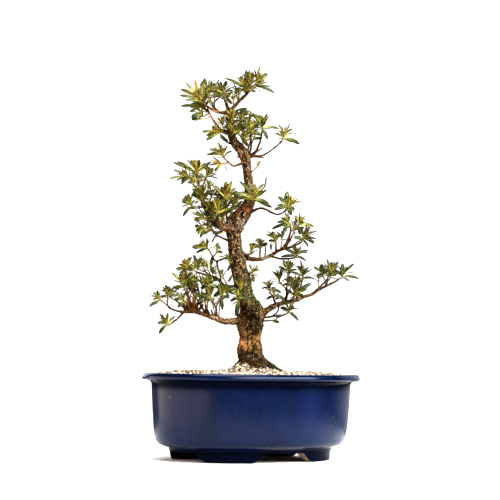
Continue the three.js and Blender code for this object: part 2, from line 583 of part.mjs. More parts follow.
const sprays = [
  spray("crown_left", 1.3, [[206, 105.4, -22], [203, 103, -24]],
    head([201.5, 102, -26], 1,
      [[179, 95], [180, 88.5], [185, 82], [205, 77], [209, 85], [195, 79], [184, 100]])),
  spray("crown_left_low", 2.3, [[230, 132, 0], [220, 129.6, -5], [212.8, 119, -10], [209, 111.8, -12]],
    head([204, 108, -12], 1, [[180, 106], [190, 107], [189, 112]]),
    head([203, 116, -18], 0, [[191, 117.5, 6.5], [198, 120], [203, 104]])),
  spray("crown_back_left", 1.6, [[218, 111.6, -10], [214, 107, 6], [212, 103, 18]],
    head([208, 95, 22], 2, [[199, 83], [212, 81], [216, 89]]),
    head([219, 97, 34], 5)),
  spray("crown_middle", 2.5, [[229, 110, 0], [226.6, 105, 3], [224.5, 99.5, 7]],
    head([222.5, 95.5, 9], 1,
      [[213, 82], [218, 81.5], [221.5, 83], [227, 80], [230, 84.5], [209.5, 90], [212, 97], [233, 89],
        [236, 85.5], [232, 104]])),
  spray("crown_right", 1.6, [[243, 96.8, 8], [246, 93.6, 6]],
    head([246, 91, 2], 1, [[224, 77.5], [232, 81], [240, 72], [246.5, 69], [250, 69], [236, 89]]),
    head([255.5, 86.5, 14], 1,
      [[256.5, 73], [260, 74.5], [264, 73.5], [268, 72.5], [271, 86.5], [275, 92.5]])),
  spray("crown_back_right", 1.6, [[236, 104, 3], [243, 98, 18], [248, 93, 32]],
    head([249, 90.5, 36], 5)),
  spray("crown_front", 1.7, [[232, 138, -1], [231, 136, -12]],
    head([233, 134, -20], 1, [[229, 121.5], [233, 122], [236.5, 125], [225, 126], [240.5, 131]]),
    head([222.5, 132.5, -20], 1, [[202, 132], [206.5, 135.5], [206, 140.5], [212, 127]])),
  spray("crown_inner", 1.4, [[230, 123, 0], [236, 121.5, 6], [239.5, 120, 12]],
    head([240.5, 119, 14], 1, [[246, 108], [249.5, 110], [251.5, 118.5], [241, 127.5], [235, 112]])),
  spray("upper_right", 1.5, [[248, 156, 2], [255, 152, -1], [259, 145, -6], [261, 138, -12], [262, 132, -16]],
    head([262.3, 129, -18], 1,
      [[253, 114], [259.5, 115], [268, 113], [279.5, 128.5], [255, 123], [268, 139.5]])),
  spray("upper_right_front", 1.4, [[249, 154, 1], [251, 148, -8], [251, 141, -16], [250.5, 137, -22]],
    head([250.4, 131.6, -26], 1, [[257, 121, 8], [241, 124], [262, 136], [240.5, 137, 6]]),
    head([246, 141, -24], 0, [[245, 128], [240, 134], [248, 149]])),
  spray("upper_right_end", 1.1, [[280, 142.8, 17], [282.5, 140.5, 18]],
    head([283, 139, 19], 1, [[278, 124], [274.5, 133], [293, 129], [286, 130], [300, 144.5]])),
  spray("upper_back", 1.7, [[246, 158, 4], [248, 150, 24], [250.5, 141, 42]],
    head([251, 137, 48], 5)),
  spray("upper_left", 1.7, [[243, 163, 0], [238, 165, -10], [233, 166, -16], [228, 162, -21]],
    head([223.5, 157.5, -25], 1, [[209, 149.5], [206, 155], [218.5, 142], [227.5, 146], [233, 151]]),
    head([223.5, 164, -27], 0, [[215, 172]])),
  spray("left_upper_end", 1.4, [[198.6, 186, 4], [197.5, 181, 7]],
    head([197, 176.5, 8], 1,
      [[172, 162.5], [177, 161], [186.5, 159], [190.5, 160],
        [199, 157], [200.5, 161], [205, 163], [212, 161.5]]),
    head([190.5, 178.5, 3], 1, [[169, 179.5], [173, 170], [181, 185]])),
  spray("left_upper_inner", 1.3, [[200, 191, 1], [203, 185, 10], [205, 181, 15]],
    head([205, 179, 17], 1, [[208, 167.5], [213, 168], [216, 178], [210, 190]])),
  spray("left_upper_front", 1.5, [[205.5, 209, -7], [201.5, 207.5, -16]],
    head([201, 201, -22], 1, [[192, 189], [191, 195], [206, 187], [199, 186.5], [211, 193]]),
    head([193, 207, -24], 1, [[184, 197], [181.5, 201.5], [183, 217], [188, 194]])),
  spray("left_upper_back", 1.7, [[204, 204, -5], [202, 196, 18], [200, 188, 36]],
    head([199, 184, 42], 5)),
  spray("fork_tall", 1.6, [[229, 227, -2], [226.5, 216, -16], [226, 206, -24]],
    head([226, 202, -26], 1,
      [[226, 181.5], [229, 186], [232, 181], [212, 187], [220.5, 184], [237.5, 191]])),
  spray("fork_golden", 1.7, [[222, 227, -8], [219.5, 222, -20], [218.5, 218, -28]],
    head([218, 215.5, -32], 1,
      [[213, 200], [217, 198], [221.5, 200], [207, 201.5, 6], [232, 209], [224.5, 202], [209.5, 208]])),
  spray("fork_back", 2, [[237, 221, 4], [232, 214, 30], [226, 207, 50]],
    head([222, 203, 56], 5)),
  spray("trunk_front", 1.6, [[247, 208, -2], [251, 205, -16]],
    head([253, 201, -22], 2,
      [[232, 193.5], [239, 181.5], [241, 192.5], [231, 200], [255, 184], [264, 184], [267, 191.5],
        [272.5, 208], [269, 204.5]])),
  spray("right_high", 1.1, [[284.4, 212, -15], [286, 210.4, -16]],
    head([286.5, 209, -17], 1,
      [[278, 197], [287, 191.5], [292, 195], [275.5, 206],
        [274, 210.5], [295, 210], [292, 216], [294, 203]])),
  spray("left_drooping", 1.7, [[226, 229, -5], [219, 232.6, -16], [213, 231.6, -26]],
    head([205.5, 219, -30], 1, [[196, 215], [193.5, 221], [190, 211]]),
    head([207.5, 229.5, -26], 1, [[194.5, 226], [195.5, 231], [197.5, 235.5], [200, 238.5]])),
  spray("left_pair", 1.4, [[232, 257.5, -3], [223, 259.6, -6], [216, 261.8, -9], [212.4, 257, -12]],
    head([208.5, 250, -14], 1, [[192, 248, 6.5], [202.5, 241.5], [208.5, 241], [196, 254], [200, 244]]),
    head([217, 252.5, -20], 0, [[217, 244.5], [220.5, 247.5], [222.5, 254]])),
  spray("left_mid_end", 1.2, [[200, 273.8, -16], [196.5, 273, -18]],
    head([193, 270.5, -20], 1, [[178.5, 265], [183, 260.5], [187, 262], [175.5, 269.5], [180, 274]]),
    head([190.5, 279, -28], 1, [[182, 285], [190, 292], [198.5, 288], [182.5, 278], [201, 282]])),
  spray("left_mid_back", 1.6, [[214, 278, -10], [210, 276, 8], [205.5, 272.5, 20]],
    head([203, 266.6, 16], 1, [[197, 258.5], [203, 258], [210.5, 263.5], [194, 266]]),
    head([198, 269.5, 36], 5)),
  spray("left_mid_inner", 1.5, [[218.5, 280, -8], [213.5, 281.5, -20], [210.6, 283, -26]],
    head([209, 284, -30], 1, [[200, 279.5], [201.5, 290], [212, 295], [219.5, 289], [208, 273]])),
  spray("trunk_left", 1.5, [[227, 286.8, -6], [223.5, 289.5, -14]],
    head([222.5, 290.5, -18], 1, [[231.5, 286], [221, 298], [233, 293], [241, 288, 5.5], [213.5, 297]])),
  spray("left_low_up", 2.2, [[198, 312, -19], [192.5, 306, -22], [188.5, 300, -24], [187, 296, -24]],
    head([184, 288, -30], 1, [[171.5, 273], [177, 276.5], [182.5, 275.5], [173, 289], [191, 278]]),
    head([190.5, 290, -16], 1, [[197, 292], [197, 282], [193.5, 279]])),
  spray("left_low_front", 1.4, [[193, 312, -21], [188, 307, -30], [186.6, 304.6, -36]],
    head([186, 303, -40], 1, [[176, 294], [174.5, 300], [178, 308], [185, 293]])),
  spray("left_low_end", 1.1, [[171, 309.2, -33], [167, 305.5, -34]],
    head([161.6, 301.2, -36], 1, [[158.5, 291], [156, 296], [149.5, 307.5], [153, 300]]),
    head([168, 297.5, -28], 1, [[172.5, 290], [164, 289.5], [176.5, 296]])),
  spray("left_low_hanging", 1.4, [[184, 312, -26], [178.5, 318.6, -33], [171.5, 324, -38]],
    head([169.5, 325.4, -40], 1,
      [[159.5, 334.5, 6.8], [162.5, 317], [168.5, 313.5], [175.5, 316.5], [158, 324]])),
  spray("left_low_back", 1.7, [[206, 314.6, -15], [201, 306, 12], [194.5, 296, 36]],
    head([191, 291, 42], 5)),
  spray("left_low_far", 1.5, [[187, 312, -24], [181.5, 305.5, 0], [174.5, 300, 16]],
    head([170.5, 298, 24], 5)),
  spray("left_low_stub", 1.5, [[206.5, 314.8, -15], [206, 309, -24], [205.5, 304.6, -30]],
    head([205.4, 303, -31], 0, [[201, 292.5], [207, 292], [198, 301], [211, 300]])),
  spray("left_low_inner", 1.7, [[217, 318.5, -12], [216.4, 312, -20], [216, 307, -26]],
    head([211.5, 299.5, -30], 1, [[205.5, 287.5], [213, 286.5], [203, 297]]),
    head([221, 297.5, -26], 1, [[218, 284.5], [226.5, 287], [229, 299], [222.5, 311]])),
  spray("trunk_sprout", 1.4, [[244, 304, -6], [241, 302, -19]],
    head([239.5, 300, -24], 2,
      [[230.5, 291.5], [236.5, 288.5], [245.5, 291], [230, 302], [249, 300], [237, 317, 5]])),
  spray("trunk_spur", 1.3, [[242, 274, -4], [249, 274.6, -9]],
    head([250.4, 274.2, -11.5], 0, [[248.6, 265.5], [258, 269, 3.4], [253.8, 283]])),
  spray("right_mid_first", 1.3, [[260, 259.5, -1], [260.2, 251, -8]],
    head([260.2, 249, -11], 1, [[255.5, 240], [260, 239.5], [265, 241], [249, 245], [268, 244.5]])),
  spray("right_mid_second", 1.2, [[276, 252.6, -7], [276, 245.4, -17]],
    head([276, 243.6, -20], 1, [[266, 235], [281, 234.5], [272, 232], [268.5, 241]])),
  spray("right_mid_top", 2, [[283, 249.6, -9], [287.4, 242, -10], [289.6, 236, -9], [291, 231, -8]],
    head([290.3, 226, -16], 1, [[277, 223], [281.5, 218.5], [290.5, 217], [271.5, 230], [283, 233]]),
    head([298, 227, 8], 1, [[295, 216], [302.5, 218], [304, 223.5], [314.5, 227], [300, 235.5]])),
  spray("right_mid_back", 1.6, [[284, 249.4, -9], [289, 242.5, 14], [293, 235, 32]],
    head([294, 232, 38], 5)),
  spray("right_mid_end", 1.1, [[299, 244.1, -16], [301.5, 242.4, -18]],
    head([302, 241, -19], 1,
      [[307.5, 228.5], [316.5, 240], [314.5, 244.5], [299, 229], [293.5, 238], [308, 247.5]])),
  spray("right_mid_low", 1.3, [[270, 256.6, -5], [280, 259.2, -14], [289, 259.3, -22], [294.6, 258.4, -26]],
    head([296, 257.6, -28], 1, [[292.5, 246.5], [308.5, 251], [285.5, 250.5], [280.5, 257.5], [306, 262]])),
  spray("right_low_tall", 1.5, [[296, 300.4, 6], [299.4, 291, 14], [302, 281.5, 20]],
    head([302.6, 279, 22], 1, [[300, 260.5], [309.5, 271], [290.5, 273], [316.5, 280.5], [297, 266]])),
  spray("right_low_middle", 1.6, [[286, 303, 0], [286.6, 295, -8], [286.6, 289, -14]],
    head([280, 283.5, -6], 1, [[258.5, 280], [270, 277], [277, 273.5], [289, 280]]),
    head([288, 274, -20], 1, [[282.5, 260.5], [293.5, 262.5], [278, 267.5], [297, 270]])),
  spray("right_low_inner", 1.5, [[276, 305.4, -3], [274, 300.5, -12], [272.6, 297.5, -17]],
    head([269.3, 290.6, -20], 1, [[266, 282.5], [261.5, 289], [273, 284.5], [281.5, 293]]),
    head([274.5, 298, -26], 0, [[285, 301, 6], [266, 300]])),
  spray("right_low_golden", 1.4, [[290, 301.8, 2], [293, 299, -12]],
    head([294, 297.5, -18], 1,
      [[290.5, 281.5], [295, 280.5], [299.5, 284],
        [311, 284], [307, 289.5], [284, 290], [303.5, 296]])),
  spray("right_low_back", 1.7, [[281, 304, -1], [286.5, 297, 22], [290, 290, 40]],
    head([291, 287, 46], 5)),
  spray("right_low_pair", 1.5, [[326, 285.8, 20], [326.6, 282.5, 18]],
    head([323, 277, 18], 1, [[313, 267.5], [316.5, 276], [321, 264.5], [328.5, 270]]),
    head([330.6, 277.6, 10], 1, [[326.5, 259], [331, 262.5], [334.5, 260.5], [338.5, 262]])),
  spray("right_low_far", 1.4, [[316, 291.4, 16], [323, 284.6, 30], [327.4, 279.6, 40]],
    head([328, 277.4, 44], 5)),
  spray("right_low_end", 1.1, [[337, 280.6, 25], [340.6, 279, 26]],
    head([341.5, 278, 27], 1,
      [[338, 267], [342.5, 264], [348, 266.5], [354, 264], [359, 279.5], [334, 271]])),
  spray("right_low_hanging", 1.4,
    [[256, 316, -3], [266, 318, -6], [273, 316.6, -10], [281, 316.4, -14], [286.4, 314.4, -17]],
    head([288, 313.4, -18], 1, [[284.5, 303.5], [291.5, 304.5], [298.5, 321.5], [280, 308]])),
];

function twig({ radius, twig: points }) {
  const route = points.map((point, i) => ({
    at: place(point),
    r: THREE.MathUtils.lerp(radius, Math.min(radius, SHOOT_RADIUS), i / (points.length - 1)),
  }));
  return limb(route, radius < 2 ? 3 : 4);
}

// A leaf's blade: flat above, keeled below and widest past its middle. It leaves along the shoot's
// axis and bends out to its tip. Each station is a share of the length and a share of the width.
const bladeStations = [
  [0.46, 0.95],
  [0.76, 0.82],
];
const plainStations = [[0.56, 1]];

function blade({ base, tip, axis, width, plain }, grow = 0) {
  const length = base.distanceTo(tip);
  const bend = base.clone().lerp(tip, 0.42).addScaledVector(axis, 0.16 * length);
  const curve = new THREE.QuadraticBezierCurve3(base, bend, tip);
  const loops = (plain ? plainStations : bladeStations).map(([share, wide]) => {
    const along = curve.getTangent(share);
    const face = axis.clone().addScaledVector(along, -axis.dot(along));
    if (face.length() < 0.05) face.copy(AWAY).addScaledVector(along, -AWAY.dot(along));
    face.normalize();
    const half = (width * wide) / 2 + grow;
    const side = along.clone().cross(face).multiplyScalar(half);
    const at = curve.getPoint(share);
    const top = at.clone().addScaledVector(face, 0.3 * LEAF_THICK + grow);
    const keel = at.clone().addScaledVector(face, -0.7 * LEAF_THICK - grow);
    return [top.clone().add(side), top.clone().sub(side), keel];
  });
  loops.unshift([base]);
  loops.push([tip.clone().addScaledVector(curve.getTangent(1), grow)]);
  return solid(skin(loops));
}

// The leaves of one head. A drawn tip gets its depth from the leaf's real length, and the extra
// leaves follow the golden angle round the shoot, spread towards and away from the front.
function leavesOf({ hub, tips, extra }, lead, random) {
  const centre = place(hub);
  const drawn = tips.map(([x, y, width], i) => {
    const flat = place([x, y, hub[2]]);
    const seen = flat.distanceTo(centre);
    const length = Math.max(seen * 1.03, THREE.MathUtils.lerp(...LEAF_LENGTH, random()) * 0.86);
    const depth = Math.sqrt(length * length - seen * seen) * (i % 2 ? 0.9 : -0.9);
    const drawnWidth = width ?? LEAF_WIDTH * (0.88 + 0.24 * random());
    return { tip: place([x, y, hub[2] + depth]), width: drawnWidth, plain: seen < 0.96 * length };
  });
  const axis = lead.clone().multiplyScalar(0.5).addScaledVector(UP, 0.5);
  for (const { tip } of drawn) {
    axis.addScaledVector(tip.clone().sub(centre).normalize(), 1.2 / drawn.length);
  }
  axis.normalize();
  const depthwise = AWAY.clone().addScaledVector(axis, -AWAY.dot(axis)).normalize();
  const lateral = axis.clone().cross(depthwise);
  const ruled = tips.length === 0; // nothing drawn, so the rule alone fills the head
  const sideways = ruled ? 1 : 0.45;
  for (let i = 0; i < extra; i++) {
    const turn = GOLDEN_ANGLE * i + (ruled ? 0.9 : 6.28) * random();
    const tilt = THREE.MathUtils.degToRad(ruled ? 30 + 55 * ((i + 0.5) / extra) : 35 + 30 * random());
    const out = depthwise
      .clone()
      .multiplyScalar(Math.cos(turn))
      .addScaledVector(lateral, sideways * Math.sin(turn))
      .normalize();
    const along = axis.clone().multiplyScalar(Math.cos(tilt)).addScaledVector(out, Math.sin(tilt));
    const length = THREE.MathUtils.lerp(...LEAF_LENGTH, random()) * (ruled ? 0.95 : 0.8);
    const tip = centre.clone().addScaledVector(along, length);
    drawn.push({ tip, width: LEAF_WIDTH * (0.8 + 0.24 * random()), plain: true });
  }
  const lift = ({ tip }) => tip.clone().sub(centre).normalize().dot(axis);
  drawn.sort((a, b) => lift(a) - lift(b));
  return drawn.map(({ tip, width, plain }, i) => {
    const up = SHOOT_LENGTH * (0.12 + (0.66 * i) / drawn.length);
    const out = tip.clone().sub(centre);
    out.addScaledVector(axis, -out.dot(axis)).normalize();
    const base = centre.clone().addScaledVector(axis, up).addScaledVector(out, -0.5 * SHOOT_RADIUS);
    return { base, tip, axis, width, plain };
  });
}

// The green stem of a head: from just past the twig's end to the hub, where it turns to the head's
// axis and runs on, straight, to the bud. A fork's second stem starts a little inside the first.
function shoot(end, lead, hub, axis, fork) {
  const centre = place(hub);
  const start = end.clone().addScaledVector(lead, GAP + 0.3 * fork);
  const turn = start.distanceTo(centre) > 2 ? centre : start.clone().addScaledVector(lead, 1.6);
  const r = SHOOT_RADIUS * (1 - 0.08 * fork);
  return limb(
    [
      { at: start, r, along: lead },
      { at: turn, r, along: axis },
      { at: centre.clone().addScaledVector(axis, SHOOT_LENGTH * 0.8), r, along: axis },
      { at: centre.clone().addScaledVector(axis, SHOOT_LENGTH), r: 0, along: axis },
    ],
    4,
  );
}

// Moves of a leaf's tip, in mm to the right, away and up, tried in turn until the leaf is clear.
const bends = [
  [0, 0, 0],
  [0, 4, 0],
  [0, -4, 0],
  [0, 8, 1],
  [0, -8, 1],
  [3, 3, 3],
  [-3, -3, 3],
  [0, 12, -2],
  [0, -12, -2],
];

function boxesMeet(a, b) {
  return [0, 1, 2].every((axis) => a.min[axis] < b.max[axis] && b.min[axis] < a.max[axis]);
}

function clearOf(test, others) {
  const box = test.boundingBox();
  return others.every(({ made, bounds }) => !boxesMeet(box, bounds) || test.intersect(made).isEmpty());
}

function bent(leaf, [right, away, rise]) {
  const tip = leaf.tip.clone().addScaledVector(RIGHT, right).addScaledVector(AWAY, away);
  return { ...leaf, tip: tip.addScaledVector(UP, rise) };
}

function withBounds(made) {
  return { made, bounds: made.boundingBox() };
}

// A spray in one body. Each leaf is bent until it is clear of every other piece, if it can be of
// its neighbours on the shoot too, and it is left out where there is no room for it.
function leafySpray(one, others, random) {
  const points = one.twig.map(place);
  const end = points[points.length - 1];
  const lead = end.clone().sub(points[points.length - 2]).normalize();
  const stems = [];
  const leaves = [];
  for (const [fork, each] of one.heads.entries()) {
    const wanted = leavesOf(each, lead, random);
    stems.push(shoot(end, lead, each.hub, wanted[0].axis, fork));
    for (const leaf of wanted) {
      const moved = bends.map((move) => bent(leaf, move));
      const free = moved.filter((tried) => clearOf(blade(tried, GAP), others));
      const best = free.find((tried) => clearOf(blade(tried), leaves)) ?? free[0];
      if (best) leaves.push(withBounds(blade(best)));
    }
  }
  const fused = join([...stems, ...leaves.map(({ made }) => made)]);
  const bodies = fused.decompose();
  return bodies.reduce((a, b) => (a.volume() > b.volume() ? a : b));
}

// ---- The whole plant in its pot

const CERAMIC_BLUE = 0x1c2b66;
const SOIL_CREAM = 0xd8c4a0;
const SCREEN_BLACK = 0x1a1a1a;
const CLIP_GREY = 0xa9a9a9;
const BARK = 0x5a4232;
const LEAF_GREEN = 0x4f6b2a;

const tube = (line, sides) =>
  limb(line.map(([x, y, depth, r]) => ({ at: place([x, y, depth]), r })), sides);
const branches = oldBranches.map((line) => tube(line, line[0][3] > 3 ? 6 : 4));
const spurs = bareTwigs.map((line) => tube(line, 3));
const gripping = roots.map((each) => root(each, 0));
const wood = join([trunk(0), ...gripping, ...branches, ...spurs, ...sprays.map(twig)]);

const group = new THREE.Group();
group.add(piece("pot", pot(), CERAMIC_BLUE, 0.15));
group.add(piece("soil", soil(), SOIL_CREAM, 0.95));
for (const [side, where] of [[-1, "left"], [1, "right"]]) {
  group.add(piece(`drain_screen_${where}`, screen(side), SCREEN_BLACK, 0.6));
  group.add(piece(`screen_clip_${where}`, clip(side), CLIP_GREY, 0.4));
}
group.add(piece("wood", wood, BARK, 0.9));

const placed = [withBounds(wood)];
for (const [i, one] of sprays.entries()) {
  const made = leafySpray(one, placed, draws(FIRST_SEED + i));
  placed.push(withBounds(made));
  group.add(piece(`leaves_${one.name}`, made, LEAF_GREEN, 0.45));
}

export default group;
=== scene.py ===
# The looks of a satsuki azalea grown as an informal upright bonsai in a glazed oval pot.
# The tables and sizes are in millimetres, as in the part, and every mesh is made in metres.
import math

import bmesh
import bpy
import numpy as np
from mathutils import Matrix, Vector, noise
from mathutils.kdtree import KDTree


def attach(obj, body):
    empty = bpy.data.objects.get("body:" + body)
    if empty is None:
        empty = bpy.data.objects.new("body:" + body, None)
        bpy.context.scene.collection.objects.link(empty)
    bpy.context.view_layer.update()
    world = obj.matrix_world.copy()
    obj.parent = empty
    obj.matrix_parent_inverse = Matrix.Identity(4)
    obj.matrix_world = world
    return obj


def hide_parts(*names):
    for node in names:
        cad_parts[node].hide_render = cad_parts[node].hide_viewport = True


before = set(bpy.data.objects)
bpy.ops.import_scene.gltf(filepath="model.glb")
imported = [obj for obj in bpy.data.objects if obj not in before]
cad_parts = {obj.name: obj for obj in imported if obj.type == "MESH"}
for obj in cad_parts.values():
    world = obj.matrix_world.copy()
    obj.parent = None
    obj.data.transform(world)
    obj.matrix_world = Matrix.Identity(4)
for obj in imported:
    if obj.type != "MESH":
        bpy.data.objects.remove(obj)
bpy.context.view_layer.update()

MM = 0.001
TURN = 2 * math.pi

# The pot
RIM_LENGTH = 300
RIM_WIDTH = 234
RIM_TOP = 110.6
RIM_DROP = 8.3
OVERHANG = 12.6
WALL = 7
UNDERSIDE = 14
FLOOR_TOP = 22
RING_INSET = 36.5
RING_BAND = 14
FOOT_HEIGHT = 12
FOOT_ANGLE = 49
FOOT_BOTTOM_HALF = 16
FOOT_TOP_HALF = 29
FOOT_STEPS = 40
FOOT_SOFT = 0.9
FOOT_BATTER = 1.6
DRAIN_OFFSET = 46
DRAIN_RADIUS = 9
DRAIN_SIDES = 64
DRILL_SPARE = 15  # how far the drain's cutter stands out of the floor
POT_SIDES = 160
WALL_UNEVEN = 0.35

# The soil and the drain clips
GAP = 0.3
SOIL_EDGE = 110.1
SOIL_CROWN = 3
MOUND_HEIGHT = 9
MOUND_RADIUS = 26
CLIP_RADIUS = 0.7
CLIP_HALF = 3.9
CLIP_TOE = 9
SCREEN_THICK = 1
SCREEN_SIZE = 30
SCREEN_CELLS = 4
SCREEN_BAR = 1.6

# The tree
LEAF_WIDTH = 4.6
LEAF_LENGTH = (15, 21)
SHOOT_RADIUS = 1.25
SHOOT_LENGTH = 7
GOLDEN_ANGLE = 2.39996
FIRST_SEED = 11

# The front elevation that the tree is laid out on, in squares: x to the right, y down, and a
# depth in millimetres away from the front.
SQUARE = 1.3
AXIS_SQUARE = 253.9
GROUND_SQUARE = 458.8
SHEET_LEAN = 0.0135
SHEET_MIDDLE = 250
EYE_DISTANCE = 2170
EYE_HEIGHT = 134
FRONT_TURN = math.radians(33.3)

RIGHT = Vector((math.cos(FRONT_TURN), -math.sin(FRONT_TURN), 0))
AWAY = Vector((math.sin(FRONT_TURN), math.cos(FRONT_TURN), 0))
UP = Vector((0, 0, 1))


def place(point):
    """A point of the front elevation, in the part's frame, in millimetres."""
    x, y, depth = point
    spread = 1 + depth / EYE_DISTANCE
    across = SQUARE * (x + SHEET_LEAN * (y - SHEET_MIDDLE) - AXIS_SQUARE) * spread
    flat = SQUARE * (GROUND_SQUARE - y + SHEET_LEAN * (x - SHEET_MIDDLE))
    height = EYE_HEIGHT + (flat - EYE_HEIGHT) * spread
    return RIGHT * across + AWAY * depth + UP * height


def draws(seed):
    """Repeatable draws between 0 and 1, the same as the part's own."""
    state = seed

    def draw():
        nonlocal state
        state = (state + 0x6D2B79F5) & 0xFFFFFFFF
        mixed = ((state ^ (state >> 15)) * (1 | state)) & 0xFFFFFFFF
        mixed = ((mixed + (mixed ^ (mixed >> 7)) * (61 | mixed)) ^ mixed) & 0xFFFFFFFF
        return (mixed ^ (mixed >> 14)) / 4294967296

    return draw


def lerp(low, high, share):
    return low + (high - low) * share


def ease(value, low, high):
    """0 below low, 1 above high and smooth between."""
    share = min(max((value - low) / (high - low), 0), 1)
    return share * share * (3 - 2 * share)


def square_to(vector, axis):
    """The part of a vector at right angles to an axis of length 1, made 1 long."""
    return (vector - axis * vector.dot(axis)).normalized()


# The trunk's line: x, y, depth, then half its width in squares.
TRUNK_LINE = [
  [254, 388, 0, 8], [254, 373, 0, 16.5], [253, 367, 0, 15.5], [251.8, 361, 0, 13], [250, 355, 0, 12.4],
  [249.5, 349, 0, 12.4], [250, 343, 0, 10.7], [250, 338, 0, 10], [250, 333, 0, 11.4],
  [250.3, 327, 0, 13], [251, 320, 0, 13.4], [252, 314, -1, 13.6], [250.6, 309, -2, 11.5],
  [248.4, 304, -3, 9.2], [245.8, 298, -4, 7.8], [243.2, 289, -5, 8.3], [241.5, 280, -5, 8.7],
  [239, 270, -5, 8.2], [237, 260, -4, 8], [235.5, 250, -3, 7], [234.6, 241, -2, 6.8],
  [234, 234, -1, 7.4], [234.5, 228, 0, 9.4], [237, 222, 1, 9.4], [242, 216, 2, 8.2],
  [245.5, 210, 3, 7.2], [248.5, 205, 4, 5.8], [250, 198, 4, 5], [249, 184, 4, 4.7],
  [247.2, 170, 2, 4.4], [246, 162, 2, 5], [243.5, 155, 1, 5.3], [240, 149, 0, 5.1],
  [235.5, 144, 0, 4.4], [232.5, 138, 0, 4.1], [229.8, 125, 0, 3.6], [229, 113, 0, 3.6],
  [229.2, 108, 0, 2.6],
]

# Old branches: x, y, depth, radius in mm.
OLD_BRANCHES = [
  # low left
  [[246, 319, -4, 5], [237, 321.5, -7, 4.3], [225, 322, -10, 3.9], [217, 319.3, -12, 3.6],
   [209.6, 316.8, -14, 3.3], [203, 314.3, -17, 3], [196, 312.4, -20, 2.7], [189, 312.4, -23, 2.3],
   [182, 312.4, -27, 1.9], [174, 310.5, -31, 1.4], [168.5, 308, -34, 1.2]],
  # middle left
  [[239, 288, -4, 3.2], [230, 287.3, -5, 2.5], [225, 286.5, -6, 2.2], [221, 283, -7, 2],
   [217, 278.8, -9, 1.9], [210.5, 277.3, -12, 1.6], [203, 274.5, -15, 1.4], [198.5, 273.4, -17, 1.2]],
  # upper left, from the swelling where the trunk turns
  [[235, 226, -1, 7], [228, 228, -4, 5.6], [221.5, 227.5, -7, 4.4], [215, 222.5, -8, 3.6],
   [209, 216, -8, 3.1], [205, 207.5, -6, 2.6], [201.5, 197, -2, 2.2], [199.3, 188, 3, 1.8],
   [198, 182, 6, 1.4]],
  # middle right
  [[241, 255.5, -2, 4.2], [250, 259.3, -1, 3.1], [260, 260, -1, 2.7], [266, 258, -3, 2.5],
   [272, 255.5, -5, 2.4], [277, 252, -7, 2.2], [283, 249.7, -9, 2], [290, 248, -12, 1.7],
   [296, 245.7, -15, 1.4], [300, 243.6, -17, 1.2]],
  # low right
  [[257, 318, -2, 5.4], [264, 313, -3, 4.3], [270, 308.8, -4, 3.6], [276, 305.7, -3, 3.3],
   [283, 303.6, -1, 3], [290, 302, 2, 2.7], [297, 300.4, 6, 2.6], [303, 297.6, 9, 2.4],
   [311, 295.2, 13, 2.2], [318, 290.8, 17, 2], [325, 287.2, 20, 1.8], [333, 283.2, 23, 1.6],
   [338.5, 280.4, 25, 1.3]],
  # crown, left and right of the top fork
  [[229.4, 112, 0, 3], [222.5, 112.4, -6, 2.3], [215, 111, -13, 1.9], [209, 107.3, -19, 1.6],
   [205, 104.6, -23, 1.3]],
  [[229, 112, 0, 3], [232, 108.6, 1, 2.5], [236.5, 103.6, 3, 2.2], [241, 98.5, 6, 1.9],
   [244.6, 95.2, 9, 1.5]],
  # a long whip from the upper trunk to the right
  [[247, 156.5, 2, 2.4], [256, 156.2, 4, 1.7], [263, 155.5, 8, 1.4], [270, 151.3, 12, 1.3],
   [277, 146, 15, 1.2], [281, 142, 17, 1.1]],
  # a bowed branch from the trunk's turn to the right
  [[246, 215, 2, 2.6], [253, 211.5, 1, 1.9], [260, 208.7, -2, 1.6], [266, 210, -5, 1.5],
   [272, 213.2, -8, 1.4], [278, 215, -11, 1.3], [283, 213, -14, 1.2], [285, 211.6, -15, 1.1]],
]

# Short dead spurs and bare twigs.
BARE_TWIGS = [
  [[251, 156.6, 3, 1.2], [258, 157.2, 0, 1], [264.5, 158.2, -2, 0.7]],
  [[250, 206, -1, 1.4], [258, 195, -5, 1.1], [264.6, 186.5, -4, 0.9], [266.5, 177, -4, 0.8]],
  [[233, 144, -3, 1.6], [228, 142.6, -7, 1.2], [222, 138.6, -9, 0.8]],
  [[243, 157.5, -2, 1.3], [236.5, 157, -6, 0.8]],
  [[230, 242, -2, 1.4], [222, 238.4, -6, 1.2], [216, 236.6, -7, 1.1], [212, 243, -4, 0.8]],
  [[265, 258.5, -3, 1.2], [265.4, 251, -9, 0.9], [265, 246, -11, 0.7]],
  [[217, 262, -9, 1.3], [218, 269, -12, 1.1], [220.5, 277, -9, 1], [221, 283, -7, 0.9]],
  [[279, 305, -3, 1.1], [277.5, 312, -3, 0.9], [272.5, 316.6, -2, 0.9]],
  [[251, 157, 2, 1.2], [258.5, 150.5, 5, 1], [262.5, 148.4, 6, 0.8]],
  [[214, 318, -12, 1.3], [211, 310, -4, 0.9]],
  [[244, 257, -4, 1.4], [250, 254.5, -8, 1.2], [254.5, 251.5, -9, 0.8]],
  [[257, 320, -3, 1.4], [266, 321.4, -5, 1.1], [273, 320.6, -5, 0.8]],
]

